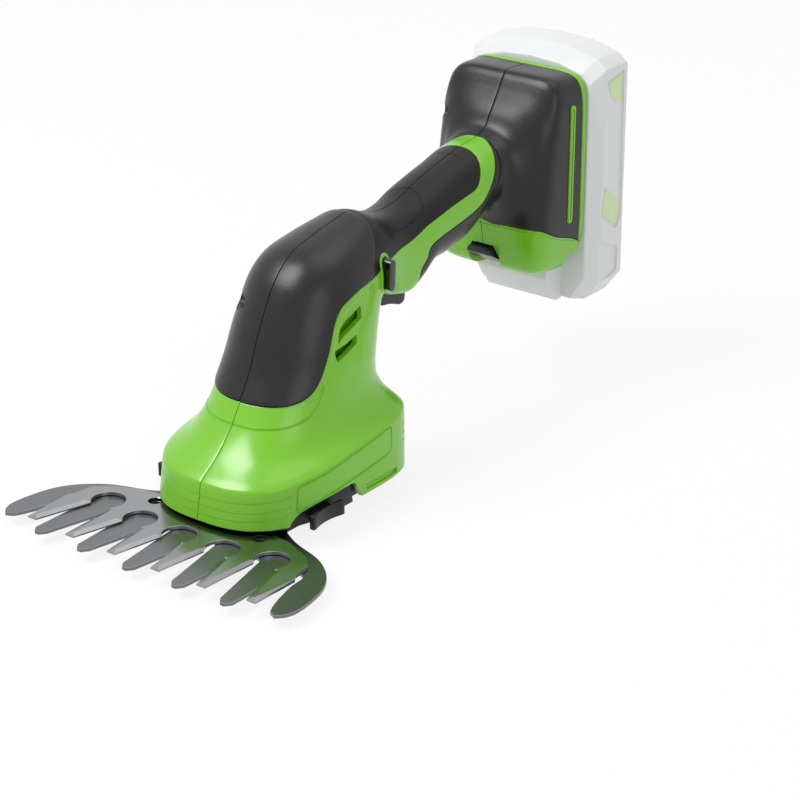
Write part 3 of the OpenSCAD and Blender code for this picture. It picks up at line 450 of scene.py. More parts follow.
def settle(piece: Piece) -> Piece:
    """Applies a piece's modifiers to its mesh."""
    ready = piece.evaluated_get(bpy.context.evaluated_depsgraph_get())
    mesh = bpy.data.meshes.new_from_object(ready)
    piece.modifiers.clear()
    old, piece.data = piece.data, mesh
    mesh.name = piece.name
    bpy.data.meshes.remove(old)
    return piece


def read(items: bpy.types.bpy_prop_collection, what: str, width: int = 3, kind: type = float) -> Array:
    """Reads one value of every vertex, edge, loop or face of a mesh, as rows of that width."""
    values = np.empty(len(items) * width, kind)
    items.foreach_get(what, values)
    return values.reshape(-1, width)


def open_edge(piece: Piece) -> tuple[Array, Array]:
    """Finds the open edge of a sheet.

    Args:
        piece: an open mesh.

    Returns:
        The points of its open edges, in metres, and at each a unit direction that leads into the sheet.
    """
    mesh = piece.data
    place, centre = read(mesh.vertices, "co"), read(mesh.polygons, "center")
    ends = read(mesh.edges, "vertices", 2, np.int32)
    edge_of = read(mesh.loops, "edge_index", 1, np.int32).ravel()
    sizes = read(mesh.polygons, "loop_total", 1, np.int32).ravel()
    single = np.bincount(edge_of, minlength=len(ends))[edge_of] == 1
    edges, faces = ends[edge_of[single]], np.repeat(np.arange(len(sizes)), sizes)[single]
    a, b = place[edges[:, 0]], place[edges[:, 1]]
    along, inside = unit(b - a), centre[faces] - a
    inside = unit(inside - (inside * along).sum(1)[:, None] * along)
    pull = np.zeros_like(place)
    np.add.at(pull, edges.ravel(), np.repeat(inside, 2, axis=0))
    length = np.linalg.norm(pull, axis=1)
    rim = length > TINY
    return place[rim], pull[rim] / length[rim, None]


def drawn_in(piece: Piece, rim: Array, pull: Array, reach: float, gap: float) -> Piece:
    """Moves what lies near a rim inwards along the sheet, so that a dark gap shows along each seam.

    Args:
        piece: the piece to change.
        rim: points of the rim, in metres.
        pull: unit directions at those points.
        reach: how near the rim a vertex moves, in millimetres.
        gap: how far it moves, in millimetres.

    Returns:
        The piece.
    """
    place = read(piece.data.vertices, "co")
    square = (place**2).sum(1)[:, None] + (rim**2).sum(1)[None] - 2 * place @ rim.T
    nearest = square.argmin(axis=1)
    close = square[np.arange(len(place)), nearest] < (reach * MM) ** 2
    place[close] += pull[nearest[close]] * gap * MM
    piece.data.vertices.foreach_set("co", place.ravel())
    piece.data.update()
    return piece


def extruded(name: str, outline: Array, axis: str, low: float, high: float) -> Piece:
    """Carries a flat outline along an axis as a closed solid.

    Args:
        name: the piece's name.
        outline: counter-clockwise points, (y, z) for axis x and (x, y) for axis z.
        axis: "x" or "z".
        low: where the solid begins.
        high: where it ends.

    Returns:
        The solid's object.
    """
    n = len(outline)
    ends = [np.insert(outline, 0 if axis == "x" else 2, at, axis=1) for at in (low, high)]
    caps = [np.arange(n)[::-1], np.arange(n) + n]
    return recalculated(make_mesh(name, np.concatenate(ends), [*wall_quads(n), *caps]))


def across(name: str, outline: Array, side: Side, low: float, high: float) -> Piece:
    """Carries a side-view outline across one half of the tool, between two distances from the middle plane."""
    ends = sorted((low * side.value, high * side.value))
    return extruded(name, counter_clockwise(outline), "x", *ends)


def tubes(name: str, runs: list[tuple[Array, Array, float]], sides: int = 8) -> Piece:
    """Sweeps a round bar along each path, all in one mesh of closed solids, as a cutter of grooves.

    Args:
        name: the piece's name.
        runs: for each bar its path, a direction away from the surface at each point of it, and its radius. A path
            that ends where it begins makes a closed ring.
        sides: facets round a bar.

    Returns:
        The bars' object.
    """
    turn = np.linspace(0, 2 * math.pi, sides, endpoint=False)
    points, faces, start = [], [], 0
    for path, away, radius in runs:
        ring = bool(np.linalg.norm(path[0] - path[-1]) < TINY)
        ahead = np.gradient(path, axis=0)
        if ring:
            ahead[[0, -1]] = path[1] - path[-2]
        ahead = unit(ahead)
        lift = unit(away - (away * ahead).sum(1)[:, None] * ahead)
        wide = np.cross(ahead, lift)
        c, s = np.cos(turn)[None, :, None], np.sin(turn)[None, :, None]
        bar = path[:, None] + radius * (c * lift[:, None] + s * wide[:, None])
        n = len(path) - 1 if ring else len(path)
        at = start + np.arange(n * sides).reshape(n, sides)
        at = closed(closed(at) if ring else at, 1)
        faces += quads_between(at).tolist()
        if not ring:
            faces += [at[0, :-1].tolist(), at[-1, :-1].tolist()]
        points.append(bar[:n].reshape(-1, 3))
        start += n * sides
    return recalculated(make_mesh(name, np.concatenate(points), faces))


def block(low: tuple, high: tuple) -> Piece:
    """A box between two corners, as a cutter."""
    return extruded("cutter", rectangle(low[1:], high[1:]), "x", low[0], high[0])


def carved(piece: Piece, cutters: list[Piece]) -> Piece:
    """Cuts the closed cutters out of a closed piece, and removes them.

    Args:
        piece: the piece to cut.
        cutters: solids that don't overlap one another.

    Returns:
        The piece.
    """
    for cutter in cutters:
        cut = piece.modifiers.new("cut", "BOOLEAN")
        cut.object, cut.operation, cut.solver = cutter, "DIFFERENCE", "EXACT"
    settle(piece)
    for cutter in cutters:
        bpy.data.objects.remove(cutter)
    return piece


def softened(piece: Piece, width: float, angle: float = 35.0, segments: int = 3) -> Piece:
    """Rounds a piece's sharp edges by a width in millimetres."""
    edge = piece.modifiers.new("edge", "BEVEL")
    edge.width, edge.segments, edge.limit_method = width * MM, segments, "ANGLE"
    edge.angle_limit = math.radians(angle)
    return settle(piece)


def edged(piece: Piece, width: float, angle: float = 40.0, segments: int = 3) -> Piece:
    """Rounds a piece's sharp edges and shades it smooth."""
    return smooth(softened(piece, width, angle, segments), 40)


def seat(piece: Piece, body: str, finish: Finish, *nodes: str) -> Piece:
    """Finishes a new piece: its material, its body and the nodes that it stands for."""
    finish.dress(piece)
    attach(piece, body)
    if nodes:
        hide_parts(*nodes)
    LOG.info("%s: %d faces on %s", piece.name, len(piece.data.polygons), body)
    return piece


# The body


RING_ROWS = np.array(
    [
        [-0.262, 0.064, 0.300, 0.064, 1.000, 2.8, 4.4],
        [-0.247, 0.167, 0.300, 0.247, 0.990, 2.8, 4.4],
        [-0.234, 0.181, 0.291, 0.261, 0.935, 2.8, 4.4],
        [-0.186, 0.224, 0.281, 0.290, 0.805, 2.6, 3.6],
        [-0.142, 0.281, 0.279, 0.327, 0.742, 2.5, 2.8],
        [-0.113, 0.333, 0.282, 0.367, 0.724, 2.4, 2.5],
        [-0.068, 0.420, 0.285, 0.413, 0.716, 2.35, 2.4],
        [-0.042, 0.498, 0.292, 0.457, 0.698, 2.3, 2.4],
        [-0.012, 0.573, 0.300, 0.487, 0.674, 2.3, 2.4],
        [0.025, 0.647, 0.310, 0.507, 0.642, 2.4, 2.4],
        [0.078, 0.700, 0.319, 0.513, 0.608, 2.4, 2.4],
        [0.156, 0.727, 0.331, 0.513, 0.569, 2.35, 2.4],
        [0.233, 0.745, 0.342, 0.507, 0.527, 2.3, 2.6],
        [0.297, 0.755, 0.353, 0.497, 0.490, 2.2, 2.8],
        [0.356, 0.730, 0.375, 0.492, 0.451, 2.2, 4.6],
        [0.411, 0.720, 0.417, 0.488, 0.436, 2.2, 6.0],
        [0.472, 0.730, 0.458, 0.503, 0.433, 2.2, 4.6],
        [0.523, 0.752, 0.514, 0.528, 0.438, 2.2, 2.8],
        [0.589, 0.775, 0.578, 0.530, 0.446, 2.2, 2.3],
        [0.661, 0.795, 0.642, 0.547, 0.451, 2.2, 2.3],
        [0.722, 0.811, 0.678, 0.573, 0.451, 2.3, 2.3],
        [0.783, 0.821, 0.711, 0.609, 0.446, 2.3, 2.3],
        [0.819, 0.838, 0.761, 0.617, 0.470, 2.4, 2.4],
        [0.842, 0.878, 0.800, 0.575, 0.580, 3.2, 3.0],
        [0.860, 0.908, 0.816, 0.512, 0.690, 4.2, 4.0],
        [0.881, 0.947, 0.822, 0.455, 0.748, 4.8, 5.0],
        [0.895, 0.975, 0.834, 0.412, 0.776, 6.0, 6.0],
        [0.917, 0.988, 0.875, 0.387, 0.790, 7.0, 7.0],
        [0.992, 0.984, 0.992, 0.380, 0.797, 8.0, 8.0],
    ]
)


@dataclass(frozen=True)
class BodyForm:
    """The outside of the whole body as one loft of ring sections.

    Each row of the ring table holds an outer point and an inner point in the side view, half the width, and the
    fullness of the section's outer and inner halves. y is a share of reach, z of height and width of half the head.

    Attributes:
        reach: from the origin back to the battery plane.
        height: height that the side view is drawn to.
        half_w: half the head's width.
        ridge: the row of the skirt's ridge, below which the rows run straight.
        ease: share of a row over which the ridge is rounded.
        ease_at: the middle of the rows that are rounded, and how far that reaches.
        search: samples of the row table when a place is looked for.
    """

    reach: float = 180.0
    height: float = 150.0
    half_w: float = 39.0
    ridge: int = 2
    ease: float = 0.17
    ease_at: tuple = (1.5, 0.9)
    search: int = 4001

    @property
    def size(self) -> Array:
        """Reach and height, which turn shares of the side view to millimetres."""
        return np.array([self.reach, self.height])

    @property
    def last(self) -> int:
        """Number of the last row, at the dock's mouth."""
        return len(RING_ROWS) - 1

    def sharp_rows(self, u: Array) -> Array:
        """The table between its rows: straight up to the ridge, Catmull-Rom above it."""
        u = np.clip(np.asarray(u, float), 0, self.last)
        i = np.minimum(u.astype(int), self.last - 1)
        t = (u - i)[..., None]
        straight = RING_ROWS[i] * (1 - t) + RING_ROWS[i + 1] * t
        curved = catmull(RING_ROWS, i, t, self.ridge)
        return np.where((u < self.ridge)[..., None], straight, curved)

    def rows(self, u: Array) -> Array:
        """The table with its ridge rounded: near the ridge, the mean of five samples about each place."""
        u = np.asarray(u, float)
        near = np.exp(-(((u - self.ease_at[0]) / self.ease_at[1]) ** 4))[..., None]
        spread = sum(self.sharp_rows(u + self.ease * k) for k in (-1.0, -0.5, 0.0, 0.5, 1.0)) / 5
        return near * spread + (1 - near) * self.sharp_rows(u)

    def axes(self, u: Array) -> tuple[Array, Array, Array]:
        """Middle, half span from inner to outer, and rows of the rings at u, in the side view."""
        r = self.rows(u)
        outer, inner = r[..., 0:2] * self.size, r[..., 2:4] * self.size
        return (outer + inner) / 2, (outer - inner) / 2, r

    def point(self, u: Array, turn: Array) -> Array:
        """Points of the right half of the body.

        A ring is a superellipse in polar form: at an angle from its outer point, the radius is
        (cos^n + sin^n)^(-1/n), where n is the fullness of that half.

        Args:
            u: places along the ring table.
            turn: angles from the outer point, from 0 to pi.

        Returns:
            An array of x, y, z.
        """
        mid, span, r = self.axes(u)
        c, s = np.cos(turn), np.sin(turn)
        full = np.where(c >= 0, r[..., 5], r[..., 6])
        radius = (np.abs(c) ** full + np.abs(s) ** full) ** (-1 / full)
        side = mid + span * (c * radius)[..., None]
        return np.concatenate([(s * radius * r[..., 4] * self.half_w)[..., None], side], axis=-1)

    def locate(self, places: Array, low: float, high: float) -> Array:
        """Finds where points of the side view lie on the body.

        Each point lies on the ring whose straight line passes through it. Its height on that line gives the angle.

        Args:
            places: rows of y, z.
            low: first row that a point may lie on.
            high: last row that it may lie on.

        Returns:
            Rows of u and angle.
        """
        u = np.linspace(low, high, self.search)
        mid, span, _ = self.axes(u)
        away = places[:, None, :] - mid[None]
        cross = away[..., 0] * span[None, :, 1] - away[..., 1] * span[None, :, 0]
        turns = np.signbit(cross[:, :-1]) != np.signbit(cross[:, 1:])
        k, row = np.argmax(turns, axis=1), np.arange(len(places))
        part = cross[row, k] / (cross[row, k] - cross[row, k + 1])
        nearest = np.where(np.abs(cross[:, 0]) < np.abs(cross[:, -1]), low, high)
        at = np.where(turns.any(axis=1), u[k] + (u[1] - u[0]) * part, nearest)
        mid, span, r = self.axes(at)
        share = np.clip(((places - mid) * span).sum(1) / (span**2).sum(1), -1, 1)
        full = np.where(share >= 0, r[:, 5], r[:, 6])
        wide = (1 - np.abs(share) ** full) ** (1 / full)
        return np.stack([at, np.arctan2(wide, share)], axis=1)

    def trace(self, shares: Array, steps: int, low: float, high: float) -> Array:
        """Runs a seam of the side view over the body, as rows of u and angle.

        Args:
            shares: seam points as shares of reach and height.
            steps: samples from each seam point to the next.
            low: first row that the seam may lie on.
            high: last row that it may lie on.

        Returns:
            Rows of u and angle.
        """
        return self.locate(spline(np.asarray(shares, float), steps) * self.size, low, high)

    def even(self, curve: Array, count: int) -> Array:
        """Spreads samples evenly over the body along a curve of u and angle."""
        share = np.linspace(0, 1, 9)[None, :-1, None]
        dense = (curve[:-1, None] + (curve[1:] - curve[:-1])[:, None] * share).reshape(-1, 2)
        dense = np.concatenate([dense, curve[-1:]])
        return resample(dense, count, self.point(dense[:, 0], dense[:, 1]))


@dataclass
class Mouldings:
    """The shells of the body: lofts trimmed along the seams, each with a wall and rounded edges.

    Attributes:
        form: the loft that all shells share.
        wall: wall thickness.
        edge: radius of the shells' edges along the seams.
        gap: half the gap that shows along a seam.
        seam_steps: samples from each point of a seam to the next.
        fine: spacing of the samples along a seam. The exact cuts are sensitive to it: all shells close at 1.15.
        hood_stand: how far the hood stands proud of its neighbours.
        hood_edge: the hood's lower and rear edge. Seams and outlines are shares of the form's reach and height.
        hood_corner: number of the edge's point at the hood's lower rear corner.
        hood_seam: the seam between hood and grip.
        grip_edge: the grip's lower and rear edge.
        grip_corner: number of that edge's point where it turns up behind the grip.
        band_edge: the edge between the green band and the under-grip.
        hood_rows, seam_rows, grip_rows, band_rows, lock_rows: rows of the form between which the hood's edge, its
            seam, the grip's edge, the band's edge and the ring round the lock-off bar lie.
        foot_turn: angle at which the band's edge turns back along the handle.
        split_turn, split_bend: angle at which the neck's side meets its rear, and a row and angle further up.
        dock_row: row at which the dock begins.
        apron_edge: the seam between dock and apron, as row and angle.
        collar: the groove round the neck's root, as row and angle, as are the ribs, the slot and the panel.
        ribs_front, ribs_rear: the fine ribs at the head's front and rear.
        rear_slot: the slot low on the head's side.
        panel: corners of the side panel's groove.
        panel_mm: length of a row and of a unit of angle at the panel, in millimetres.
        line_r, panel_r, collar_r, slot_r, grip_r: radii of the ribs, the panel's groove, the collar, the rear slot
            and the grip's grooves.
        bead: how far below its seam the apron's groove runs.
        notch: the notch over a release button, as shares of the reach and of notch_h.
        notch_r, vent_r, panel_round: radii of the corners of the notch, the vents and the panel.
        notch_in, vent_in, accent_in, screw_grip: how near the middle plane these openings reach.
        vents: the two vents.
        vent_ground, vent_ground_x: the plate behind the vents, and where it begins and ends across.
        channel, channel_depth: the shallow channel round the vents, and its depth.
        channel_soft: width of its soft edge.
        channel_fade: heights between which it fades in.
        grip_arcs: the grip's two grooves, as row and angle.
        lock_low, lock_high, lock_w: lower and upper end of the lock-off bar, and its width.
        lock_gap, lock_rim: gap between the bar and its ring, and width of the ring.
        lock_profile: the ring's section, as share of half its width, and height above the body.
        trigger_slot, trigger_half: lower front and upper rear corner of the trigger's mouth, and half its width.
        screws: places of the housing screws on hood, head and dock.
        screw_recess, screw_run: radius of a screw's recess, and how far each one is drawn out along Y.
        accent_low, accent_high, accent_w: lower and upper end of the dock's accent bar, and width of its slot.
        outside, recess_out: distances across that lie outside the body, where cutters end.
        weld: distance under which points of neighbouring grids are merged.
    """

    form: BodyForm = field(default_factory=BodyForm)
    wall: float = 2.4
    edge: float = 0.45
    gap: float = 0.2
    seam_steps: int = 12
    fine: float = 1.15
    hood_stand: float = 0.55
    hood_edge: tuple = (
        (-0.113, 0.345), (-0.066, 0.351), (-0.025, 0.368), (0.005, 0.400), (0.031, 0.451),
        (0.050, 0.500), (0.067, 0.543), (0.090, 0.578), (0.117, 0.595), (0.160, 0.610), (0.216, 0.618),
    )  # fmt: skip
    hood_corner: int = 3
    hood_seam: tuple = ((0.216, 0.618), (0.236, 0.663), (0.264, 0.705), (0.282, 0.738), (0.286, 0.775))
    grip_edge: tuple = (
        (0.216, 0.618), (0.240, 0.623), (0.270, 0.632), (0.308, 0.640),
        (0.354, 0.645), (0.401, 0.649), (0.443, 0.659), (0.482, 0.674), (0.556, 0.696), (0.635, 0.715),
        (0.662, 0.723), (0.679, 0.739), (0.702, 0.776), (0.719, 0.810),
    )  # fmt: skip
    grip_corner: int = 9
    band_edge: tuple = (
        (0.437, 0.460), (0.439, 0.535), (0.448, 0.558), (0.467, 0.580), (0.475, 0.601), (0.495, 0.617),
        (0.551, 0.633), (0.629, 0.653), (0.669, 0.668), (0.694, 0.686), (0.726, 0.729), (0.751, 0.773),
        (0.773, 0.807), (0.789, 0.823),
    )  # fmt: skip
    hood_rows: tuple = (4.2, 12)
    seam_rows: tuple = (9.5, 13.4)
    grip_rows: tuple = (9.5, 21)
    band_rows: tuple = (15, 21.6)
    lock_rows: tuple = (9.5, 16.0)
    foot_turn: float = 2.1
    split_turn: float = 2.35
    split_bend: tuple = (10.0, 2.3)
    dock_row: float = 21.0
    apron_edge: tuple = (
        (23.20, math.pi), (23.37, 2.928), (23.51, 2.548), (24.17, 2.260), (25.40, 2.090), (26.58, 2.059),
        (27.41, 2.116), (28.00, 2.190),
    )  # fmt: skip
    collar: tuple = (
        (4.21, 0.0), (4.19, 0.305), (4.21, 0.532), (4.24, 0.768), (4.47, 0.990), (4.95, 1.086), (5.60, 1.110),
    )  # fmt: skip
    ribs_front: tuple = (
        ((0.67, 0.0), (0.70, 0.484), (0.74, 0.930)), ((0.44, 0.0), (0.44, 0.489), (0.51, 0.930)),
        ((0.20, 0.0), (0.23, 0.497), (0.31, 0.900)),
    )  # fmt: skip
    ribs_rear: tuple = (
        ((0.78, 2.250), (0.78, math.pi)), ((0.63, 2.250), (0.63, math.pi)), ((0.48, 2.250), (0.48, math.pi)),
    )  # fmt: skip
    rear_slot: tuple = ((0.14, 1.767), (0.10, 2.150))
    panel: tuple = (
        (0.290, 0.978), (0.950, 0.975), (1.040, 2.075), (0.520, 2.075), (0.485, 1.751), (0.435, 1.248),
    )  # fmt: skip
    panel_mm: tuple = (14.0, 37.0)
    panel_round: float = 2.0
    line_r: float = 0.28
    panel_r: float = 0.6
    collar_r: float = 0.55
    slot_r: float = 1.3
    grip_r: float = 0.25
    bead: float = 1.1
    notch: tuple = (
        (-0.172, -0.05), (-0.169, 0.560), (-0.148, 0.840), (-0.085, 0.988), (-0.020, 1.035), (0.035, 1.047),
        (0.062, 0.565), (0.064, -0.05),
    )  # fmt: skip
    notch_h: float = 17.0
    notch_in: float = 20.0
    notch_r: float = 2.5
    vents: tuple = (
        (
            (0.073, 0.484), (0.079, 0.508), (0.086, 0.525), (0.104, 0.541), (0.161, 0.564), (0.160, 0.529),
            (0.092, 0.500),
        ),
        ((0.060, 0.437), (0.060, 0.468), (0.098, 0.478), (0.136, 0.491), (0.133, 0.466)),
    )  # fmt: skip
    vent_in: float = 13.0
    vent_r: float = 0.8
    vent_ground: tuple = (
        (0.048, 0.425), (0.150, 0.440), (0.175, 0.520), (0.175, 0.580), (0.085, 0.555), (0.060, 0.500),
    )  # fmt: skip
    vent_ground_x: tuple = (19.2, 20.4)
    channel: tuple = (
        (0.216, 0.604), (0.147, 0.584), (0.112, 0.570), (0.092, 0.553), (0.076, 0.526), (0.061, 0.492),
        (0.045, 0.447), (0.028, 0.409), (0.085, 0.405), (0.124, 0.410), (0.140, 0.469), (0.158, 0.508),
        (0.172, 0.525), (0.186, 0.535), (0.208, 0.573), (0.219, 0.602),
    )  # fmt: skip
    channel_depth: float = 1.3
    channel_soft: float = 1.6
    channel_fade: tuple = (60.0, 72.0)
    grip_arcs: tuple = (
        ((19.28, 0.0), (19.28, 0.122), (19.19, 0.419), (19.05, 0.676), (18.88, 0.838), (18.71, 0.890)),
        (
            (16.90, 0.0), (16.70, 0.362), (16.48, 0.611), (16.25, 0.711), (15.71, 0.785), (14.85, 0.820),
            (13.77, 0.894), (13.11, 0.951),
        ),
    )  # fmt: skip
    lock_low: tuple = (0.273, 0.577)
    lock_high: tuple = (0.275, 0.640)
    lock_w: float = 4.8
    lock_gap: float = 0.1
    lock_rim: float = 1.5
    lock_profile: tuple = ((-1.0, -1.5), (-1.0, 0.15), (-0.7, 0.4), (0.6, 0.4), (1.0, 0.1), (1.0, -1.5))
    trigger_slot: tuple = ((0.311, 0.400), (0.472, 0.535))
    trigger_half: float = 6.9
    screws: tuple = ((0.035, 0.560), (0.256, 0.167), (0.867, 0.840))
    screw_recess: float = 3.4
    screw_grip: float = 9.0
    screw_run: tuple = (-3.8, 0.0, 0.0)
    accent_low: tuple = (0.947, 0.553)
    accent_high: tuple = (0.950, 0.893)
    accent_w: float = 3.6
    accent_in: float = 20.0
    outside: float = 50.0
    recess_out: float = 60.0
    weld: float = 0.02

    def place(self, shares: tuple) -> Array:
        """A point or outline of the side view from its shares."""
        return np.array(shares) * self.form.size

    def seams(self) -> None:
        """Traces the seams on the body and keeps them as curves of u and angle."""
        self.hood_line, self.seam_line, self.grip_line, band = (
            self.form.trace(seam, self.seam_steps, *rows)
            for seam, rows in (
                (self.hood_edge, self.hood_rows), (self.hood_seam, self.seam_rows),
                (self.grip_edge, self.grip_rows), (self.band_edge, self.band_rows),
            )
        )  # fmt: skip
        self.band_line = band[band[:, 1] < math.pi - 1e-3]
        self.hood_line[0, 1] = self.seam_line[-1, 1] = self.grip_line[-1, 1] = self.band_line[-1, 1] = 0.0
        self.band_line[0, 1] = math.pi
        self.seam_line[0] = self.grip_line[0] = self.hood_line[-1]
        self.skirt_line = spline(np.array(self.apron_edge), 8)

    def bar(self, spots: Array, side: Side, radius: float) -> tuple[Array, Array, float]:
        """A groove's path on the body, for a curve of u and angle, with the way out at each point."""
        curve = self.form.even(spots, self.count(spots))
        place = self.form.point(curve[:, 0], curve[:, 1])
        mid, _, _ = self.form.axes(curve[:, 0])
        away = place - np.insert(mid, 0, 0.0, axis=1)
        flip = np.array([side.value, 1, 1])
        past = -1.0  # an end on the middle plane runs past it, so that the two halves' grooves meet
        if abs(curve[0, 1]) < TINY:
            place[0, 0] = past
        if abs(curve[-1, 1] - math.pi) < TINY:
            place[-1, 0] = past
        return place * flip, away * flip, radius

    def grooves(self, side: Side) -> Piece:
        """The cutter of the head's fine lines: collar, ribs, rear slot and the bare panel on the right."""
        lines = [(self.collar, self.collar_r), *((rib, self.line_r) for rib in (*self.ribs_front, *self.ribs_rear))]
        runs = [self.bar(spline(np.array(line), 6), side, radius) for line, radius in lines]
        runs.append(self.bar(np.array(self.rear_slot), side, self.slot_r))
        if side is Side.RIGHT:
            corners = rounded(np.array(self.panel) * self.panel_mm, self.panel_round, 7)
            loop = closed(corners) / self.panel_mm
            path, away, radius = self.bar(loop, side, self.panel_r)
            path[-1] = path[0]
            runs.append((path, away, radius))
        return tubes("cutter", runs)

    def shell(
        self, name: str, side: Side, grids: list[Array], cutters: list[Piece], stand: float = 0.0,
        sunk: float = 0.0,
    ) -> Piece:
        """Makes one moulding from grids of u and angle: welded, given its wall, edged and cut.

        Args:
            name: the piece's name.
            side: which half of the body.
            grids: grids of u and angle that share their common edges.
            cutters: closed solids to cut away.
            stand: how far the moulding stands proud of the loft.
            sunk: how deep the vents' channel is.

        Returns:
            The moulding.
        """
        points, faces, start = [], [], 0
        for grid in grids:
            place = self.form.point(grid[..., 0], grid[..., 1])
            place[..., 0] -= self.sunk(place) * sunk
            quads = grid_quads(*grid.shape[:2], start)
            facing = np.cross(place[1:, :-1] - place[:-1, :-1], place[:-1, 1:] - place[:-1, :-1])
            mid, _, _ = self.form.axes(grid[:-1, :-1, 0])
            away = place[:-1, :-1] - np.concatenate([np.zeros((*mid.shape[:2], 1)), mid], axis=-1)
            inwards = (facing * away).sum() > 0
            faces.append(quads[:, ::-1] if inwards != (side is Side.LEFT) else quads)
            points.append(place.reshape(-1, 3) * [side.value, 1, 1])
            start += place.shape[0] * place.shape[1]
        piece = make_mesh(name, np.concatenate(points), np.concatenate(faces), self.weld)
        rim = open_edge(piece)
        body = piece.modifiers.new("wall", "SOLIDIFY")
        body.thickness, body.offset = (self.wall + stand) * MM, -1.0 + 2 * stand / (self.wall + stand)
        settle(piece)
        softened(piece, self.edge, 50, 2)
        drawn_in(piece, *rim, 2 * self.edge, self.gap)
        if cutters:
            carved(piece, cutters)
        return smooth(piece, 40)

    def sunk(self, place: Array) -> Array:
        """How far points lie inside the vents' channel, from 0 to 1 across its soft edge."""
        loop = self.place(self.channel)
        spot, ahead = place[..., None, 1:], np.roll(loop, -1, axis=0) - loop
        along = np.clip(((spot - loop) * ahead).sum(-1) / (ahead**2).sum(-1), 0, 1)
        near = np.linalg.norm(spot - loop - along[..., None] * ahead, axis=-1).min(-1)
        low, high = loop[:, 1] <= spot[..., 1], np.roll(loop, -1, axis=0)[:, 1] <= spot[..., 1]
        rise = np.where(np.abs(ahead[:, 1]) < 1e-9, 1e-9, ahead[:, 1])
        left = loop[:, 0] + (spot[..., 1] - loop[:, 1]) / rise * ahead[:, 0] > spot[..., 0]
        inside = ((low != high) & left).sum(-1) % 2
        ramp = np.clip(0.5 + np.where(inside, near, -near) / self.channel_soft, 0, 1)
        fade = np.clip((place[..., 2] - self.channel_fade[0]) / np.ptp(self.channel_fade), 0, 1)
        return ramp**2 * (3 - 2 * ramp) * fade**2 * (3 - 2 * fade)

    def recess(self, number: int, side: Side) -> list[Piece]:
        """The cutter of a screw's recess, which only the left half has: round, or drawn out along Y."""
        if side is Side.RIGHT:
            return []
        place, run = self.place(self.screws[number]), self.screw_run[number]
        outline = circle(place, self.screw_recess)
        if run:
            outline = pill(place + np.array([run, 0.0]), place, self.screw_recess)
        return [across("cutter", outline, side, self.screw_grip, self.recess_out)]

    def trigger_mouth(self, side: Side) -> Piece:
        """The cutter of the trigger's mouth."""
        outline = rectangle(*map(self.place, self.trigger_slot))
        return across("cutter", outline, side, -1, self.trigger_half)

    def parted(self, line: Array, corner: int) -> tuple[Array, Array]:
        """Parts a seam's curve at one of the seam's points, which both parts keep."""
        at = corner * self.seam_steps
        return line[: at + 1], line[at:]

    def band_parts(self) -> tuple[Array, Array]:
        """The band's edge across the handle's underside, and the rest of it along the handle."""
        at = int(np.argmin(np.abs(self.band_line[:, 1] - self.foot_turn)))
        return self.band_line[: at + 1], self.band_line[at:]

    def count(self, curve: Array) -> int:
        """How many samples a curve of u and angle gets at the usual spacing."""
        place = self.form.point(curve[:, 0], curve[:, 1])
        return max(6, int(np.linalg.norm(np.diff(place, axis=0), axis=1).sum() / self.fine))

    def line(self, *ends: tuple[float, float]) -> Array:
        """A straight curve through places of u and angle."""
        return np.array(ends, float)

    def hood(self, side: Side) -> Piece:
        """The dark hood over the front and top of the neck, with a screw's recess on the left."""
        low, edge = self.parted(self.hood_line, self.hood_corner)
        centre = self.line(tuple(low[0]), tuple(self.seam_line[-1]))
        n, m = self.count(low) + 6, self.count(edge)
        even = self.form.even
        grid = coons(even(low, n), even(self.seam_line[::-1], n), even(centre, m), even(edge, m))
        return self.shell(f"hood_{side.tag}_skin", side, [grid], self.recess(0, side), self.hood_stand)

    def body(self, side: Side) -> Piece:
        """The green shell: skirt and shoulder, neck, handle band and the ring behind the grip."""
        even, pi = self.form.even, math.pi
        low, edge = self.parted(self.hood_line, self.hood_corner)
        foot_edge, band = self.band_parts()
        foot_edge = foot_edge[::-1]
        u0, a0 = edge[0]
        split = (u0, self.split_turn)
        n_low, n_side, n_rear, n_rows, n_mid, n_band = self.count(low) + 4, 26, 18, 92, 70, 80
        side_low = even(self.line((u0, a0), split), n_side + 1)
        rear_low = even(self.line(split, (u0, pi)), n_rear + 1)
        head_top = np.concatenate([even(low, n_low + 1), side_low[1:], rear_low[1:]])
        head_low = even(self.line((0.0, 0.0), (0.0, pi)), len(head_top))
        head = coons(
            head_low, head_top,
            even(self.line((0, 0), (1.0, 0), (2.0, 0), tuple(low[0])), n_rows),
            even(self.line((0, pi), (1.0, pi), (2.0, pi), (u0, pi)), n_rows),
        )  # fmt: skip
        mid = even(self.line(split, self.split_bend, tuple(foot_edge[0])), n_mid + 1)
        mid[-1] = band[0]
        left = even(np.concatenate([edge, self.grip_line[1:]]), n_mid + n_band + 1)
        right = np.concatenate([mid, even(band, n_band + 1)[1:]])
        end = even(self.line(tuple(left[-1]), tuple(right[-1])), n_side + 1)
        strip = coons(side_low, end, left, right)
        under = coons(
            rear_low, even(foot_edge, n_rear + 1), mid, even(self.line((u0, pi), tuple(foot_edge[-1])), n_mid + 1)
        )
        name = f"body_shell_{side.tag}_skin"
        return self.shell(name, side, [head, strip, under], self.body_cuts(side), sunk=self.channel_depth)

    def body_cuts(self, side: Side) -> list[Piece]:
        """Cutters of the green shell: notch, vents, trigger mouth, a screw's recess and grooves."""
        notch = np.array(self.notch) * [self.form.reach, self.notch_h]
        vents = [(self.place(vent), self.vent_r, self.vent_in) for vent in self.vents]
        return [
            *(
                across("cutter", rounded(counter_clockwise(outline), radius), side, low, self.outside)
                for outline, radius, low in [(notch, self.notch_r, self.notch_in), *vents]
            ),
            self.trigger_mouth(side),
            *self.recess(1, side),
            self.grooves(side),
        ]

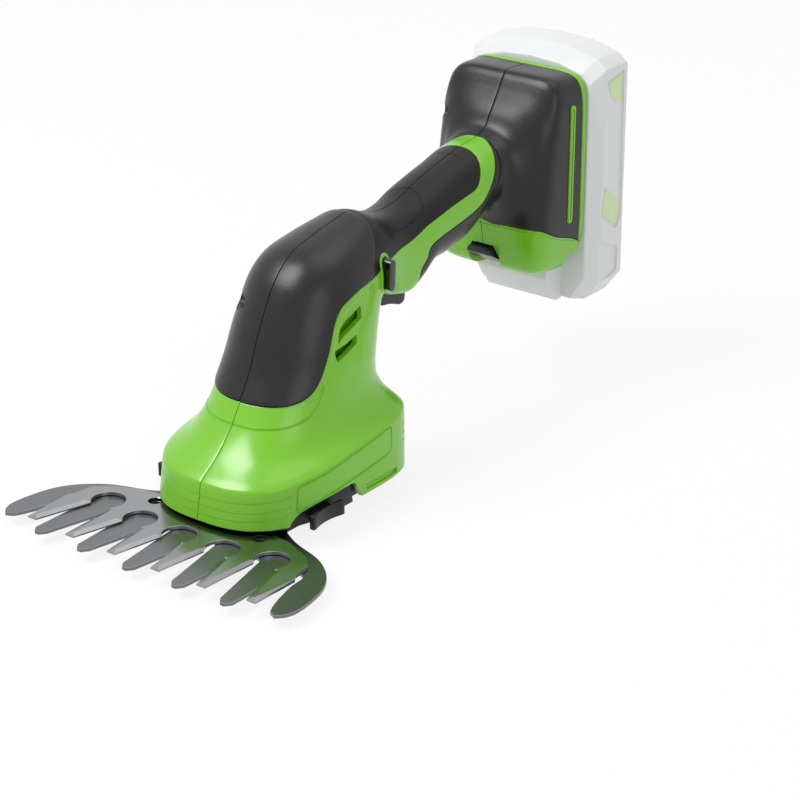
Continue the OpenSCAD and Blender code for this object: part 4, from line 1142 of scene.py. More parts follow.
    def ground(self, side: Side) -> Piece:
        """The green ground that shows in the vents: a plate inside the neck's wall."""
        return across(f"vent_ground_{side.tag}", self.place(self.vent_ground), side, *self.vent_ground_x)

    def surround(self, side: Side) -> Piece:
        """The raised pill-shaped ring round the lock-off bar: a rounded profile carried round the bar on the body."""
        low, high = self.place(self.lock_low), self.place(self.lock_high)
        middle = pill(low, high, self.lock_w / 2 + self.lock_gap + self.lock_rim / 2, 16)
        middle = counter_clockwise(resample(closed(middle), 97)[:-1])
        away = outward(middle) * self.lock_rim / 2
        share, lift = np.array(self.lock_profile).T
        spots = middle + away * share[:, None, None]
        place = self.form.locate(spots.reshape(-1, 2), *self.lock_rows).reshape(spots.shape)
        place = self.form.point(place[..., 0], place[..., 1])
        place[..., 0] += lift[:, None]
        ring = closed(closed(place), 1) * [side.value, 1, 1]
        quads = grid_quads(*ring.shape[:2])
        piece = make_mesh(f"lock_surround_{side.tag}", ring.reshape(-1, 3), quads, weld=0.001)
        return smooth(recalculated(piece), 50)

    def grip(self, side: Side) -> Piece:
        """The soft grip on the handle's top."""
        even = self.form.even
        low, rear = self.parted(self.grip_line, self.grip_corner)
        centre = self.line(tuple(self.seam_line[-1]), tuple(self.grip_line[-1]))
        n, m = self.count(low), self.count(self.seam_line)
        grid = coons(even(low, n), even(centre, n), even(self.seam_line, m), even(rear, m))
        arcs = [tubes("cutter", [self.bar(spline(np.array(a), 6), side, self.grip_r)]) for a in self.grip_arcs]
        return self.shell(f"grip_{side.tag}_skin", side, [grid], arcs)

    def under_grip(self, side: Side) -> Piece:
        """The dark under-grip behind the trigger, up to the dock's collar."""
        even, pi, collar = self.form.even, math.pi, self.dock_row
        foot_edge, band = self.band_parts()
        band = band[band[:, 0] < collar - 0.02]
        top = np.concatenate([band, [[collar, band[-1, 1] * 0.8]]])
        along, around = self.count(top), 30
        grid = coons(
            even(self.line(tuple(foot_edge[0]), (collar, pi)), along), even(top, along),
            even(foot_edge, around), even(self.line((collar, pi), tuple(top[-1])), around),
        )  # fmt: skip
        return self.shell(f"under_grip_{side.tag}_skin", side, [grid], [self.trigger_mouth(side)])

    def dock(self, side: Side) -> Piece:
        """The dark battery dock, from the collar to its mouth, with the accent's slot."""
        even, pi, collar, mouth = self.form.even, math.pi, self.dock_row, float(self.form.last)
        start, end = self.skirt_line[0], (mouth, self.skirt_line[-1, 1])
        n_neck, n_seam, around = 15, 46, 64
        low = np.concatenate([
            even(self.line((collar, pi), tuple(start)), n_neck),
            even(np.concatenate([self.skirt_line, [end]]), n_seam)[1:],
        ])  # fmt: skip
        grid = coons(
            low, low * [1.0, 0.0],
            even(self.line((collar, pi), (collar, 0)), around), even(self.line(end, (mouth, 0)), around),
        )  # fmt: skip
        slot = pill(self.place(self.accent_low), self.place(self.accent_high), self.accent_w / 2)
        cuts = [across("cutter", slot, side, self.accent_in, self.outside), *self.recess(2, side)]
        return self.shell(f"dock_shell_{side.tag}_skin", side, [grid], cuts)

    def build(self) -> None:
        """Builds and seats every moulding."""
        self.seams()
        makers = (
            (self.body, GREEN_ABS, "body_shell"), (self.hood, CHARCOAL_NYLON, "hood"), (self.grip, SOFT_RUBBER, "grip"),
            (self.under_grip, CHARCOAL_NYLON, "under_grip"), (self.dock, CHARCOAL_NYLON, "dock_shell"),
            (self.surround, GREEN_ABS, "body_shell"), (self.ground, GREEN_ABS, "body_shell"),
        )  # fmt: skip
        for side in Side:
            for make, finish, node in makers:
                seat(make(side), "housing", finish, f"{node}_{side.tag}")


@dataclass
class DockTrim:
    """The green trim of the dock: the apron below it, the frame round its mouth and an accent bar on each side.

    Attributes:
        shells: the mouldings, for the loft and the apron's seam.
        rim_y, rim_t: where the frame begins along Y, and its thickness.
        rim_half, rim_z: half width and half height of the frame, and height of its middle.
        rim_wall, rim_full: width of the frame's bars, and fullness of its superellipse.
        tongue_half, tongue_y: half the width of the gap for the pack's tongue, and where it begins.
        latch_half, latch_slim: half the latch's width at its root and at the top of its tab.
        latch_top, latch_taper: height of the tab's top, and the length over which it narrows.
        latch_gap, latch_round: gap beside the latch, and radius of the corners of its side view.
        latch_side: side view of the latch, as shares of reach and height.
        step: place of the apron's lower rear step, along Y and up.
        apron_row: first row that the apron's groove may lie on.
        accent_x: root and face of an accent bar, across.
        groove, groove_depth: half the width of the accent's groove, and its depth.
        bar_gap: gap between an accent bar and its slot.
        edge, latch_edge: radii of the trim's and of the latch's edges.
        far: a length that reaches past the trim, for cutters.
    """

    shells: Mouldings
    rim_y: float = 178.56
    rim_t: float = 2.7
    rim_half: tuple = (31.4, 41.6)
    rim_z: float = 106.35
    rim_wall: float = 3.0
    rim_full: float = 8.0
    tongue_half: float = 20.55
    latch_half: float = 8.0
    latch_slim: float = 5.2
    latch_top: float = 71.5
    latch_taper: float = 5.5
    latch_gap: float = 0.6
    latch_round: float = 0.7
    latch_side: tuple = (
        (0.803, 0.466), (0.833, 0.472), (0.852, 0.455), (0.875, 0.433), (0.894, 0.407), (0.886, 0.393),
        (0.853, 0.412), (0.830, 0.431), (0.806, 0.449),
    )  # fmt: skip
    tongue_y: float = 163.0
    step: tuple = (171.0, 66.0)
    apron_row: float = 22.0
    accent_x: tuple = (27.6, 31.6)
    groove: float = 0.55
    groove_depth: float = 0.5
    bar_gap: float = 0.1
    edge: float = 0.45
    latch_edge: float = 0.4
    far: float = 60.0

    def apron(self, side: Side) -> Piece:
        """One half of the apron, open for the latch and the pack's tongue."""
        shells, pi = self.shells, math.pi
        even, mouth = shells.form.even, float(shells.form.last)
        start, end = shells.skirt_line[0], (mouth, shells.skirt_line[-1, 1])
        along, around = 48, 30
        top = even(np.concatenate([shells.skirt_line, [end]]), along)
        grid = coons(
            even(shells.line(tuple(start), (mouth, pi)), along), top,
            np.repeat(start[None], around, axis=0), even(shells.line((mouth, pi), end), around),
        )  # fmt: skip
        back = self.rim_y + self.far
        cuts = [
            self.notch(self.latch_gap, -1.0, 0.0, back),
            block((-1.0, self.tongue_y, 0.0), (self.tongue_half, back, self.rim_z)),
            block((-1.0, self.step[0], 0.0), (self.far, back, self.step[1])),
        ]
        for cut in cuts:
            cut.data.transform(Matrix.Diagonal((side.value, 1, 1, 1)))
            if side is Side.LEFT:
                cut.data.flip_normals()
        rim = shells.form.point(shells.skirt_line[:, 0], shells.skirt_line[:, 1])
        below = shells.form.locate(rim[:, 1:] - [0.0, shells.bead], self.apron_row, mouth)
        cuts.append(tubes("cutter", [shells.bar(below[2:-4], side, shells.line_r)]))
        return shells.shell(f"dock_apron_{side.tag}", side, [grid], cuts)

    def notch(self, gap: float, left: float, low: float, high: float) -> Piece:
        """A tapered prism along Y: the latch's opening in the apron.

        Args:
            gap: how much wider than the latch it is.
            left: where it begins across.
            low: where it begins along Y.
            high: where it ends along Y.

        Returns:
            The prism.
        """
        wide, slim = self.latch_half + gap, self.latch_slim + gap
        top, bend = self.latch_top, self.latch_top - self.latch_taper
        outline = np.array([(left, 0.0), (wide, 0.0), (wide, bend), (slim, top), (left, top)])
        prism = extruded("cutter", outline, "z", -high, -low)
        prism.data.transform(Matrix.Rotation(math.pi / 2, 4, "X"))
        return prism

    def latch(self) -> Piece:
        """The pack's latch: its side view carried across, with a thumb tab that narrows upwards."""
        outline = rounded(counter_clockwise(self.shells.place(self.latch_side)), self.latch_round, 4)
        piece = extruded("latch_flap", outline, "x", -self.latch_half, self.latch_half)
        place = read(piece.data.vertices, "co")
        rise = np.clip((place[:, 2] / MM - self.latch_top + self.latch_taper) / self.latch_taper, 0, 1)
        place[:, 0] *= 1 - rise * (1 - self.latch_slim / self.latch_half)
        piece.data.vertices.foreach_set("co", place.ravel())
        return edged(piece, self.latch_edge, 30)

    def frame(self) -> Piece:
        """The frame: a superellipse ring of rectangular section, open below for the tongue."""
        turn = np.linspace(0, 2 * math.pi, 192, endpoint=False)
        c, s = np.cos(turn), np.sin(turn)
        radius = (np.abs(c) ** self.rim_full + np.abs(s) ** self.rim_full) ** (-1 / self.rim_full)
        loops = []
        for wall, y in ((0, 0), (0, self.rim_t), (self.rim_wall, self.rim_t), (self.rim_wall, 0)):
            half, tall = np.array(self.rim_half) - wall
            x, z = half * radius * c, self.rim_z + tall * radius * s
            loops.append(np.stack([x, np.full_like(c, self.rim_y + y), z], axis=1))
        grid = closed(closed(np.stack(loops)), 1)
        piece = make_mesh("dock_frame", grid.reshape(-1, 3), grid_quads(*grid.shape[:2]), weld=0.001)
        softened(recalculated(piece), self.edge, 40, 3)
        low = block((-self.tongue_half, 0.0, 0.0), (self.tongue_half, 300.0, self.rim_z))
        return smooth(carved(piece, [low]), 40)

    def accent(self, side: Side) -> Piece:
        """A pill-shaped bar with a fine groove along it."""
        shells = self.shells
        low, high = shells.place(shells.accent_low), shells.place(shells.accent_high)
        outline = pill(low, high, shells.accent_w / 2 - self.bar_gap)
        bar = softened(across(f"accent_{side.tag}", outline, side, *self.accent_x), self.edge, 40, 3)
        run = (high - low) / np.linalg.norm(high - low)
        groove = pill(low + run * 0.4, high - run * 0.4, self.groove)
        cut = across("cutter", groove, side, self.accent_x[1] - self.groove_depth, self.accent_x[1] + 5)
        return smooth(carved(bar, [cut]), 40)

    def build(self) -> None:
        """Builds and seats the trim."""
        for side in Side:
            seat(self.apron(side), "housing", GREEN_ABS, f"dock_skirt_{side.tag}")
        seat(self.frame(), "housing", GREEN_ABS, "dock_rim")
        seat(self.latch(), "latch", CHARCOAL_NYLON, "battery_latch")
        for side in Side:
            seat(self.accent(side), "housing", GREEN_ABS, "side_accents")


# The controls


@dataclass
class Controls:
    """The trigger with its finger hollow and its spring, and the two release buttons with their dished faces.

    Attributes:
        form: the body's form, for its reach and height.
        trigger: side view of the trigger, as shares of reach and height.
        trigger_half: half the trigger's width.
        trigger_round, trigger_edge: radii of the corners of its side view, and of its edges.
        button_x, button_y, button_z: root and outer face of a release button, its two ends, and its underside and top.
        dish, land: how far the outer face is hollowed, and width of the raised ends beside the hollow.
        button_edge: radius of a button's edges.
        stem_low, stem_high: lower and upper corner of a button's stem.
        coil_at, coil_z: place of the trigger's spring along X and Y, and its two ends.
        coil_r, coil_wire, coil_turns: radius of the spring's turns and of its wire, and the number of turns.
        coil_keep: the share of its length that the spring keeps when the trigger is pulled; not used.
    """

    form: BodyForm = field(default_factory=BodyForm)
    trigger: tuple = (
        (0.317, 0.560), (0.317, 0.520), (0.356, 0.470), (0.367, 0.452), (0.394, 0.449), (0.419, 0.440),
        (0.436, 0.431), (0.453, 0.435), (0.458, 0.450), (0.458, 0.560),
    )  # fmt: skip
    trigger_half: float = 6.5
    trigger_round: float = 2.2
    trigger_edge: float = 1.1
    button_y: tuple = (-24.4, -4.6)
    button_z: tuple = (8.5, 14.7)
    button_x: tuple = (39.75, 42.2)
    dish: float = 1.4
    land: float = 1.6
    button_edge: float = 0.45
    stem_low: tuple = (30.74, -18.9, 9.5)
    stem_high: tuple = (39.9, -8.8, 13.5)
    coil_at: tuple = (0.0, 77.4)
    coil_z: tuple = (84.09, 89.01)
    coil_r: float = 1.7
    coil_wire: float = 0.3
    coil_turns: int = 3
    coil_keep: float = 0.38

    def lever(self) -> Piece:
        """The trigger: its side view carried across, with well-rounded edges."""
        outline = counter_clockwise(rounded(np.array(self.trigger) * self.form.size, self.trigger_round, 6))
        piece = extruded("trigger_lever", outline, "x", -self.trigger_half, self.trigger_half)
        return edged(piece, self.trigger_edge, 50, 4)

    def button(self, side: Side) -> Piece:
        """A release button: a block whose outer face is a shallow arc between two raised ends."""
        (y0, y1), (x0, x1) = self.button_y, self.button_x
        y = np.linspace(y0 + self.land, y1 - self.land, 17)
        hollow = self.dish * np.sin(np.linspace(0, math.pi, 17)) ** 0.8
        face = np.stack([x1 - hollow, y], axis=1)
        outline = np.concatenate([[(x0, y0), (x1, y0)], face, [(x1, y1), (x0, y1)]])
        outline = counter_clockwise(outline * [side.value, 1])
        return edged(extruded(f"release_{side.tag}_key", outline, "z", *self.button_z), self.button_edge)

    def stem(self, side: Side) -> Piece:
        """A release button's stem, which runs into the base."""
        (x0, *low), (x1, *high) = self.stem_low, self.stem_high
        return smooth(across(f"release_{side.tag}_stem", rectangle(low, high), side, x0, x1), 40)

    def coil(self) -> Piece:
        """The trigger's spring: a round wire carried along a helix."""
        turn = np.linspace(0, 2 * math.pi * self.coil_turns, 24 * self.coil_turns + 1)
        away = np.stack([np.cos(turn), np.sin(turn), np.zeros_like(turn)], axis=1)
        low, high = np.array(self.coil_z) + [self.coil_wire, -self.coil_wire]
        rise = turn / turn[-1] * (high - low) + low
        path = away * self.coil_r + np.stack([*(np.full_like(turn, at) for at in self.coil_at), rise], axis=1)
        return smooth(tubes("trigger_coil", [(path, away, self.coil_wire)]), 60)

    def build(self) -> None:
        """Builds and seats the controls."""
        seat(self.lever(), "trigger", CHARCOAL_NYLON, "trigger")
        coil = seat(self.coil(), "housing", ZINC_STEEL, "trigger_spring")
        anchor = np.array([*self.coil_at, self.coil_z[1]]) * MM
        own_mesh(coil)
        for side in Side:
            for make in (self.button, self.stem):
                seat(make(side), f"release_{side.tag}", BLACK_NYLON, f"release_button_{side.tag}")


# The battery


@dataclass
class Battery:
    """The slide-in pack: a faceted pale case with a recessed panel on each side, and its tongue.

    Attributes:
        rings: the case's sections: their place along Y, and how far sides and top are drawn in.
        outline: right half of the case's full section, from the middle of its foot.
        middle_z: height above which a section's top is drawn in, and below it the foot.
        foot_share: how far the foot is drawn in, as a share of the top.
        edge, tongue_edge, inlay_edge: radii of the edges of the case, the tongue and the inlays.
        tongue, foot: side views of the tongue and of its slanted foot, along Y and up.
        tongue_half: half the width of both.
        panel, low_panel: the recessed panel of a side, along Y and up, and the smaller panel below it.
        panel_depth, panel_round: depth of both panels, and radius of their corners.
        inlays, inlay_round: the pale green inlays of a side, and radius of their corners.
        inlay_rise, inlay_root: how far an inlay stands above its panel, and reaches below it.
        half_w: half the case's width.
    """

    rings: tuple = ((182.4, 4.2, 6.0), (189.6, 0.0, 0.0), (206.6, 0.0, 0.0), (208.4, 1.7, 1.7))
    outline: tuple = (
        (0.0, 38.0), (27.5, 38.0), (36.0, 49.0), (36.0, 148.0), (30.5, 152.2), (17.0, 155.6), (0.0, 156.6),
    )  # fmt: skip
    middle_z: float = 98.0
    foot_share: float = 0.3
    edge: float = 0.6
    tongue_edge: float = 0.8
    inlay_edge: float = 0.15
    tongue: tuple = ((164.4, 64.0), (182.9, 64.0), (182.9, 134.0), (164.4, 134.0))
    foot: tuple = ((170.5, 64.4), (170.5, 51.0), (179.0, 38.6), (183.5, 38.6), (183.5, 64.4))
    tongue_half: float = 19.3
    panel: tuple = (
        (191.0, 143.6), (204.0, 146.0), (205.2, 76.0), (201.6, 70.6), (188.4, 79.5), (189.6, 96.0),
    )  # fmt: skip
    low_panel: tuple = ((187.6, 68.8), (203.6, 61.5), (203.0, 50.0), (187.0, 47.0))
    panel_depth: float = 0.9
    panel_round: float = 2.0
    inlays: tuple = (
        ((192.3, 141.8), (202.9, 143.8), (203.2, 131.0), (198.6, 131.0), (193.6, 136.6)),
        ((192.4, 93.0), (203.6, 84.6), (203.9, 76.6), (201.2, 72.6), (190.4, 80.4)),
    )  # fmt: skip
    inlay_round: float = 0.8
    inlay_rise: float = 0.35
    inlay_root: float = 0.5
    half_w: float = 36.0

    def case(self) -> Piece:
        """The case: rings of the same facets, drawn in at front and back."""
        right = np.array(self.outline)
        whole = np.concatenate([right, right[-2:0:-1] * [-1, 1]])
        rows = []
        for y, inset, drop in self.rings:
            x = whole[:, 0] * (self.half_w - inset) / self.half_w
            z = whole[:, 1] + np.where(whole[:, 1] > self.middle_z, -drop, drop * self.foot_share)
            rows.append(np.stack([x, np.full_like(x, y), z], axis=1))
        grid = closed(np.stack(rows), 1)
        numbers = np.arange(grid.shape[0] * grid.shape[1]).reshape(grid.shape[:2])
        faces = [*quads_between(numbers), numbers[0, :-1], numbers[-1, :-1]]
        piece = recalculated(make_mesh("pack_case", grid.reshape(-1, 3), faces, weld=0.001))
        softened(piece, self.edge, 6, 2)
        depths = self.half_w - self.panel_depth, self.half_w + 5
        cuts = [
            across("cutter", rounded(np.array(outline), self.panel_round), side, *depths)
            for side in Side
            for outline in (self.panel, self.low_panel)
        ]
        return smooth(carved(piece, cuts), 12)

    def slide(self, name: str, outline: tuple, angle: float) -> Piece:
        """The tongue that slides down into the dock, or its slanted foot: a side view carried across."""
        ends = -self.tongue_half, self.tongue_half
        return edged(extruded(name, counter_clockwise(np.array(outline)), "x", *ends), self.tongue_edge, angle)

    def inlay(self, side: Side, number: int) -> Piece:
        """A pale green inlay on a side panel."""
        bottom = self.half_w - self.panel_depth
        outline, ends = rounded(np.array(self.inlays[number]), self.inlay_round), (-self.inlay_root, self.inlay_rise)
        piece = across(f"pack_inlay_{side.tag}_{number}", outline, side, *(bottom + end for end in ends))
        return edged(piece, self.inlay_edge, 40, 2)

    def build(self) -> None:
        """Builds and seats the pack."""
        seat(self.case(), "battery", PALE_ABS, "pack_front", "pack_back")
        for name, outline, angle in (("pack_tongue", self.tongue, 40), ("pack_heel", self.foot, 30)):
            seat(self.slide(name, outline, angle), "battery", PALE_ABS, "pack_front")
        for side in Side:
            for number in range(len(self.inlays)):
                seat(self.inlay(side, number), "battery", PALE_GREEN_ABS, "pack_front")


# The cutter


@dataclass
class Combs:
    """The two combs of the cutter, with ground bevels along their teeth.

    An outline is carried up as stacked rings: a flat underside, a square flank and a ground bevel that runs in to
    the flat top.

    Attributes:
        width: across the lower comb's hooks.
        reach: from the origin forward to the lower tooth tips.
        thick: thickness of each comb.
        lower_z, upper_z: undersides of the lower and the upper comb.
        bevel, bevel_drop: width of the ground bevel of the upper teeth, and how far a bevel falls at most.
        flank, rear_flank: width of the bevel round the lower teeth, and along the rear of both combs.
        gullet_flank, hole_drop: width of the bevel in the upper gullets and round all holes, and its fall there.
        tips, tip_x: reach and place across of the lower teeth, from the middle one outwards. Places are shares of
            half the width and of the reach.
        tip_w, tip_flat, tip_bevel: width of a lower tooth and of its flat end, and length of its slanted corners.
        gullet, gullet_x, gullet_r: places of the lower gullets along Y and across, and radius of their roots.
        hook, hook_tip: outer edge of an end hook, and its inner edge up to the tip.
        rear: edge of the lower comb behind the hook.
        upper_tips, upper_reach, upper_tip_w: place across, reach and end width of the upper teeth.
        upper_gullet_x, upper_gullets, upper_gullet_r: spacing of the upper gullets, their places along Y from the
            middle one outwards, and radius of their keyholes.
        mouth: cosine of the angle at which a keyhole opens.
        upper_side: edge of the upper comb behind its last tooth.
        sight, sight_r: place and radius of a sight hole.
        boss_share, boss_h: width of the black disc below a sight hole, which is painted shade seen through the hole, as
            a share of the hole, and its height.
        crank_r, crank_pin_r, gear_y: throw of the crank, radius of its pin, and place of the gear along Y.
        stud_r, stud_run: radius of a guide stud, and its distance from the gear.
        clear: clearance of the studs and the crank in the upper comb.
    """

    width: float = 152.0
    reach: float = 90.0
    thick: float = 1.4
    lower_z: float = 4.6
    upper_z: float = 6.3
    bevel: float = 2.1
    bevel_drop: float = 0.8
    flank: float = 0.2
    rear_flank: float = 0.12
    gullet_flank: float = 0.15
    hole_drop: float = 0.12
    tips: tuple = (1.000, 0.992, 0.984)
    tip_x: tuple = (0.0, 0.332, 0.651)
    tip_w: float = 6.2
    tip_flat: float = 2.0
    tip_bevel: float = 2.6
    gullet: float = 0.622
    gullet_x: tuple = (0.153, 0.459, 0.750)
    gullet_r: float = 4.3
    hook: tuple = (
        (0.980, 0.905), (1.000, 0.850), (0.993, 0.755), (0.965, 0.643), (0.915, 0.559), (0.842, 0.490),
        (0.724, 0.423), (0.534, 0.368), (0.421, 0.317),
    )  # fmt: skip
    hook_tip: tuple = (
        (0.812, 0.690), (0.826, 0.740), (0.850, 0.815), (0.880, 0.885), (0.901, 0.918), (0.945, 0.936),
    )  # fmt: skip
    rear: tuple = ((0.360, 0.270), (0.316, 0.150), (0.303, -0.250))
    upper_tips: tuple = (0.154, 0.462, 0.770)
    upper_reach: tuple = (0.947, 0.939, 0.913)
    upper_gullet_x: float = 0.2895
    upper_gullets: tuple = (0.644, 0.633, 0.583)
    upper_gullet_r: float = 7.3
    upper_tip_w: float = 4.4
    mouth: float = 0.712
    upper_side: tuple = (
        (0.807, 0.660), (0.783, 0.628), (0.770, 0.533), (0.697, 0.472), (0.530, 0.409), (0.395, 0.394),
        (0.257, 0.368), (0.237, -0.267),
    )  # fmt: skip
    sight: tuple = (0.370, 0.460)
    sight_r: float = 3.0
    boss_share: float = 1.4
    boss_h: float = 1.2
    crank_r: float = 9.0
    crank_pin_r: float = 3.0
    gear_y: float = -7.92
    stud_r: float = 2.6
    stud_run: float = 23.1
    clear: float = 0.4

    def plan(self, shares: tuple) -> Array:
        """Points of the plan from shares of half the width and of the reach."""
        return np.asarray(shares, float) * [self.width / 2, -self.reach]

    @staticmethod
    def joined(parts: list[tuple[Array, float | Array]]) -> tuple[Array, Array]:
        """Joins runs of points, each with the width of its bevel, to one outline and its widths."""
        widths = [np.broadcast_to(width, len(run)) for run, width in parts]
        return np.concatenate([run for run, _ in parts]), np.concatenate(widths)

    @staticmethod
    def mirrored(parts: list[tuple[Array, float]]) -> list[tuple[Array, float]]:
        """The same runs on the other side, in the order in which the outline comes back."""
        return [(run[::-1] * [-1, 1], width) for run, width in parts[::-1]]

    def lower_gullet(self, number: int) -> tuple[Array, float]:
        """The round root of a lower gullet with its bevel, counted from the middle, and negative on the left."""
        place = self.plan((self.gullet_x[abs(number) - 1] * np.sign(number), self.gullet))
        return arc(place, self.gullet_r, 0, 180, 16), self.flank

    def lower_outline(self) -> tuple[Array, Array]:
        """The lower comb's outline, and how far in its bevel runs at each point."""
        side = [
            (self.plan(self.rear[::-1]), self.rear_flank),
            (self.plan(spline(np.array(self.hook), 4))[::-1], self.flank),
            (self.plan(self.hook_tip)[::-1], self.flank),
            self.lower_gullet(3),
        ]
        half, flat, teeth = self.tip_w / 2, self.tip_flat / 2, []
        for k in (2, 1, 0, -1, -2):
            x, tip = self.plan((self.tip_x[abs(k)] * np.sign(k), self.tips[abs(k)]))
            root = tip + self.tip_bevel
            tooth = np.array([(x + half, root), (x + flat, tip), (x - flat, tip), (x - half, root)])
            teeth.append((tooth, self.flank))
            if k > -2:
                teeth.append(self.lower_gullet(k if k > 0 else k - 1))
        return self.joined(side + teeth + self.mirrored(side))

    def upper_outline(self) -> tuple[Array, Array]:
        """The upper comb's outline with its keyhole gullets, and its bevel at each point."""
        opening, half = math.degrees(math.acos(self.mouth)), self.upper_tip_w / 2
        side, teeth = [(self.plan(self.upper_side[::-1]), self.rear_flank)], []
        for k in (3, 2, 1, -1, -2, -3):
            x, y = self.plan((self.upper_tips[abs(k) - 1] * np.sign(k), self.upper_reach[abs(k) - 1]))
            teeth.append((np.array([(x + half, y), (x - half, y)]), self.bevel))
            if k > -3:
                g = k - 1 if k > 0 else k
                place = self.plan((self.upper_gullet_x * g, self.upper_gullets[abs(g)]))
                hole = arc(place, self.upper_gullet_r, -opening, 180 + opening, 36)
                width = np.full(len(hole), self.gullet_flank)
                width[[0, -1]] = self.bevel
                teeth.append((hole, width))
        return self.joined(side + teeth + self.mirrored(side))

    def comb(self, name: str, outline: Array, ground: Array, low: float, holes: list[Array]) -> Piece:
        """Builds one comb as a closed solid with its holes.

        Args:
            name: the piece's name.
            outline: the comb's outline.
            ground: width of the bevel at each point.
            low: height of the underside.
            holes: outlines of the holes through it.

        Returns:
            The comb's object.
        """
        both = counter_clockwise(np.column_stack([outline, ground]))
        outline, ground = both[:, :2], both[:, 2]
        drop = np.minimum(ground / 2, self.bevel_drop)
        loops = [(outline, outline - outward(outline) * ground[:, None], drop)]
        for hole in holes:
            hole = counter_clockwise(hole)[::-1]
            top = hole - outward(hole) * self.gullet_flank
            loops.append((hole, top, np.full(len(hole), self.hole_drop)))
        points, faces, lids, count, high = [], [], [], 0, low + self.thick
        for edge, top, fall in loops:
            n = len(edge)
            points += [
                np.column_stack([edge, np.full(n, low)]),
                np.column_stack([edge, high - fall]),
                np.column_stack([top, np.full(n, high)]),
            ]
            faces += wall_quads(n, count) + wall_quads(n, count + n)
            lids.append((count, n))
            count += 3 * n
        flat = np.concatenate(points)
        for level, turn in ((0, -1), (2, 1)):
            rows = [np.arange(s + level * n, s + level * n + n) for s, n in lids]
            order = np.concatenate(rows)
            tris = tessellate_polygon([list(map(Vector, flat[row] * [1, 1, 0])) for row in rows])
            faces += [order[list(t)[::turn]].tolist() for t in tris]
        return smooth(recalculated(make_mesh(name, flat, faces)), 18)

    @property
    def studs(self) -> list[Array]:
        """Places of the two guide studs."""
        return [np.array([0.0, self.gear_y + s * self.stud_run]) for s in (-1, 1)]

    @property
    def eyes(self) -> list[Array]:
        """Outlines of the two sight holes."""
        return [circle(self.plan(self.sight) * [s, 1], self.sight_r) for s in (-1, 1)]

    def slots(self) -> list[Array]:
        """Openings of the upper comb: two guide slots, the crank's window and two sight holes."""
        run = np.array([self.crank_r, 0.0])
        guides = [pill(stud - run, stud + run, self.stud_r + self.clear) for stud in self.studs]
        window = circle((0, self.gear_y), self.crank_r + self.crank_pin_r + self.clear, 45)
        return [*guides, window, *self.eyes]

    def boss(self, number: int, eye: Array) -> Piece:
        """A black disc below a sight hole, painted shade seen through the hole: the hole's outline, widened about its
        middle.
        """
        middle = eye.mean(axis=0)
        outline = middle + (eye - middle) * self.boss_share
        return smooth(extruded(f"sight_boss_{number}", outline, "z", self.lower_z - self.boss_h, self.lower_z), 40)

    def build(self) -> None:
        """Builds and seats both combs, with a black disc below each sight hole as painted shade."""
        for number, eye in enumerate(self.eyes):
            # painted shade: a black disc darkens what shows through each sight hole
            seat(self.boss(number, eye), "cutter", BLACK_NYLON)
        holes = [*(circle(stud, self.stud_r) for stud in self.studs), *self.eyes]
        lower = self.comb("lower_comb", *self.lower_outline(), self.lower_z, holes)
        seat(lower, "cutter", ROLLED_STEEL, "lower_blade")
        upper = self.comb("upper_comb_blade", *self.upper_outline(), self.upper_z, self.slots())
        seat(upper, "upper_comb", GROUND_STEEL, "upper_blade")


# The finish of each node that keeps its CAD shape

NODE_FINISH: dict[Finish, tuple[str, ...]] = {
    ZINC_STEEL: (
        "housing_screws", "frame_screws", "motor_shaft", "crank_pin", "gear_axle", "guide_studs", "yoke_rivets",
        "trigger_pin", "latch_pin", "pack_cells",
    ),
    BLACK_NYLON: ("base_cover", "mount_plate", "switch_body", "battery_socket"),
    ROLLED_STEEL: ("gear_frame", "motor_can"),
    GROUND_STEEL: ("drive_yoke",),
    TURNED_BRASS: ("pinion", "drive_gear", "socket_blades", "pack_clips"),
    GLOSS_NYLON: ("lock_off_bar",),
}  # fmt: skip


@dataclass
class CadNodes:
    """The nodes that keep their CAD shape: welded for shading, their edges eased, and dressed.

    Attributes:
        weld: distance under which points are merged.
        edge: width of an eased edge.
        edge_angle: angle of the edges that are eased, in degrees.
        crease: angle past which an edge stays sharp, in degrees.
        eased: the nodes whose edges are eased.
    """

    weld: float = 0.01
    edge: float = 0.35
    edge_angle: float = 35.0
    crease: float = 30.0
    eased: tuple = ("base_cover", "mount_plate", "lock_off_bar", "drive_yoke", "switch_body", "battery_socket")

    def dress(self, node: Piece, finish: Finish, eased: bool) -> None:
        """Gives one node its finish and smooth shading, with live modifiers that leave its mesh as it is."""
        finish.dress(node)
        node.modifiers.new("weld", "WELD").merge_threshold = self.weld * MM
        if eased:
            edge = node.modifiers.new("edge", "BEVEL")
            edge.width, edge.segments, edge.limit_method = self.edge * MM, 3, "ANGLE"
            edge.angle_limit = math.radians(self.edge_angle)
        node.data.shade_smooth()
        node.modifiers.new("crease", "EDGE_SPLIT").split_angle = math.radians(self.crease)

    def build(self, nodes: dict[str, Piece]) -> None:
        """Dresses every node that is shown."""
        for finish, names in NODE_FINISH.items():
            for name in names:
                self.dress(nodes[name], finish, name in self.eased)
                LOG.info("%s: %s", name, finish.name)


# The studio


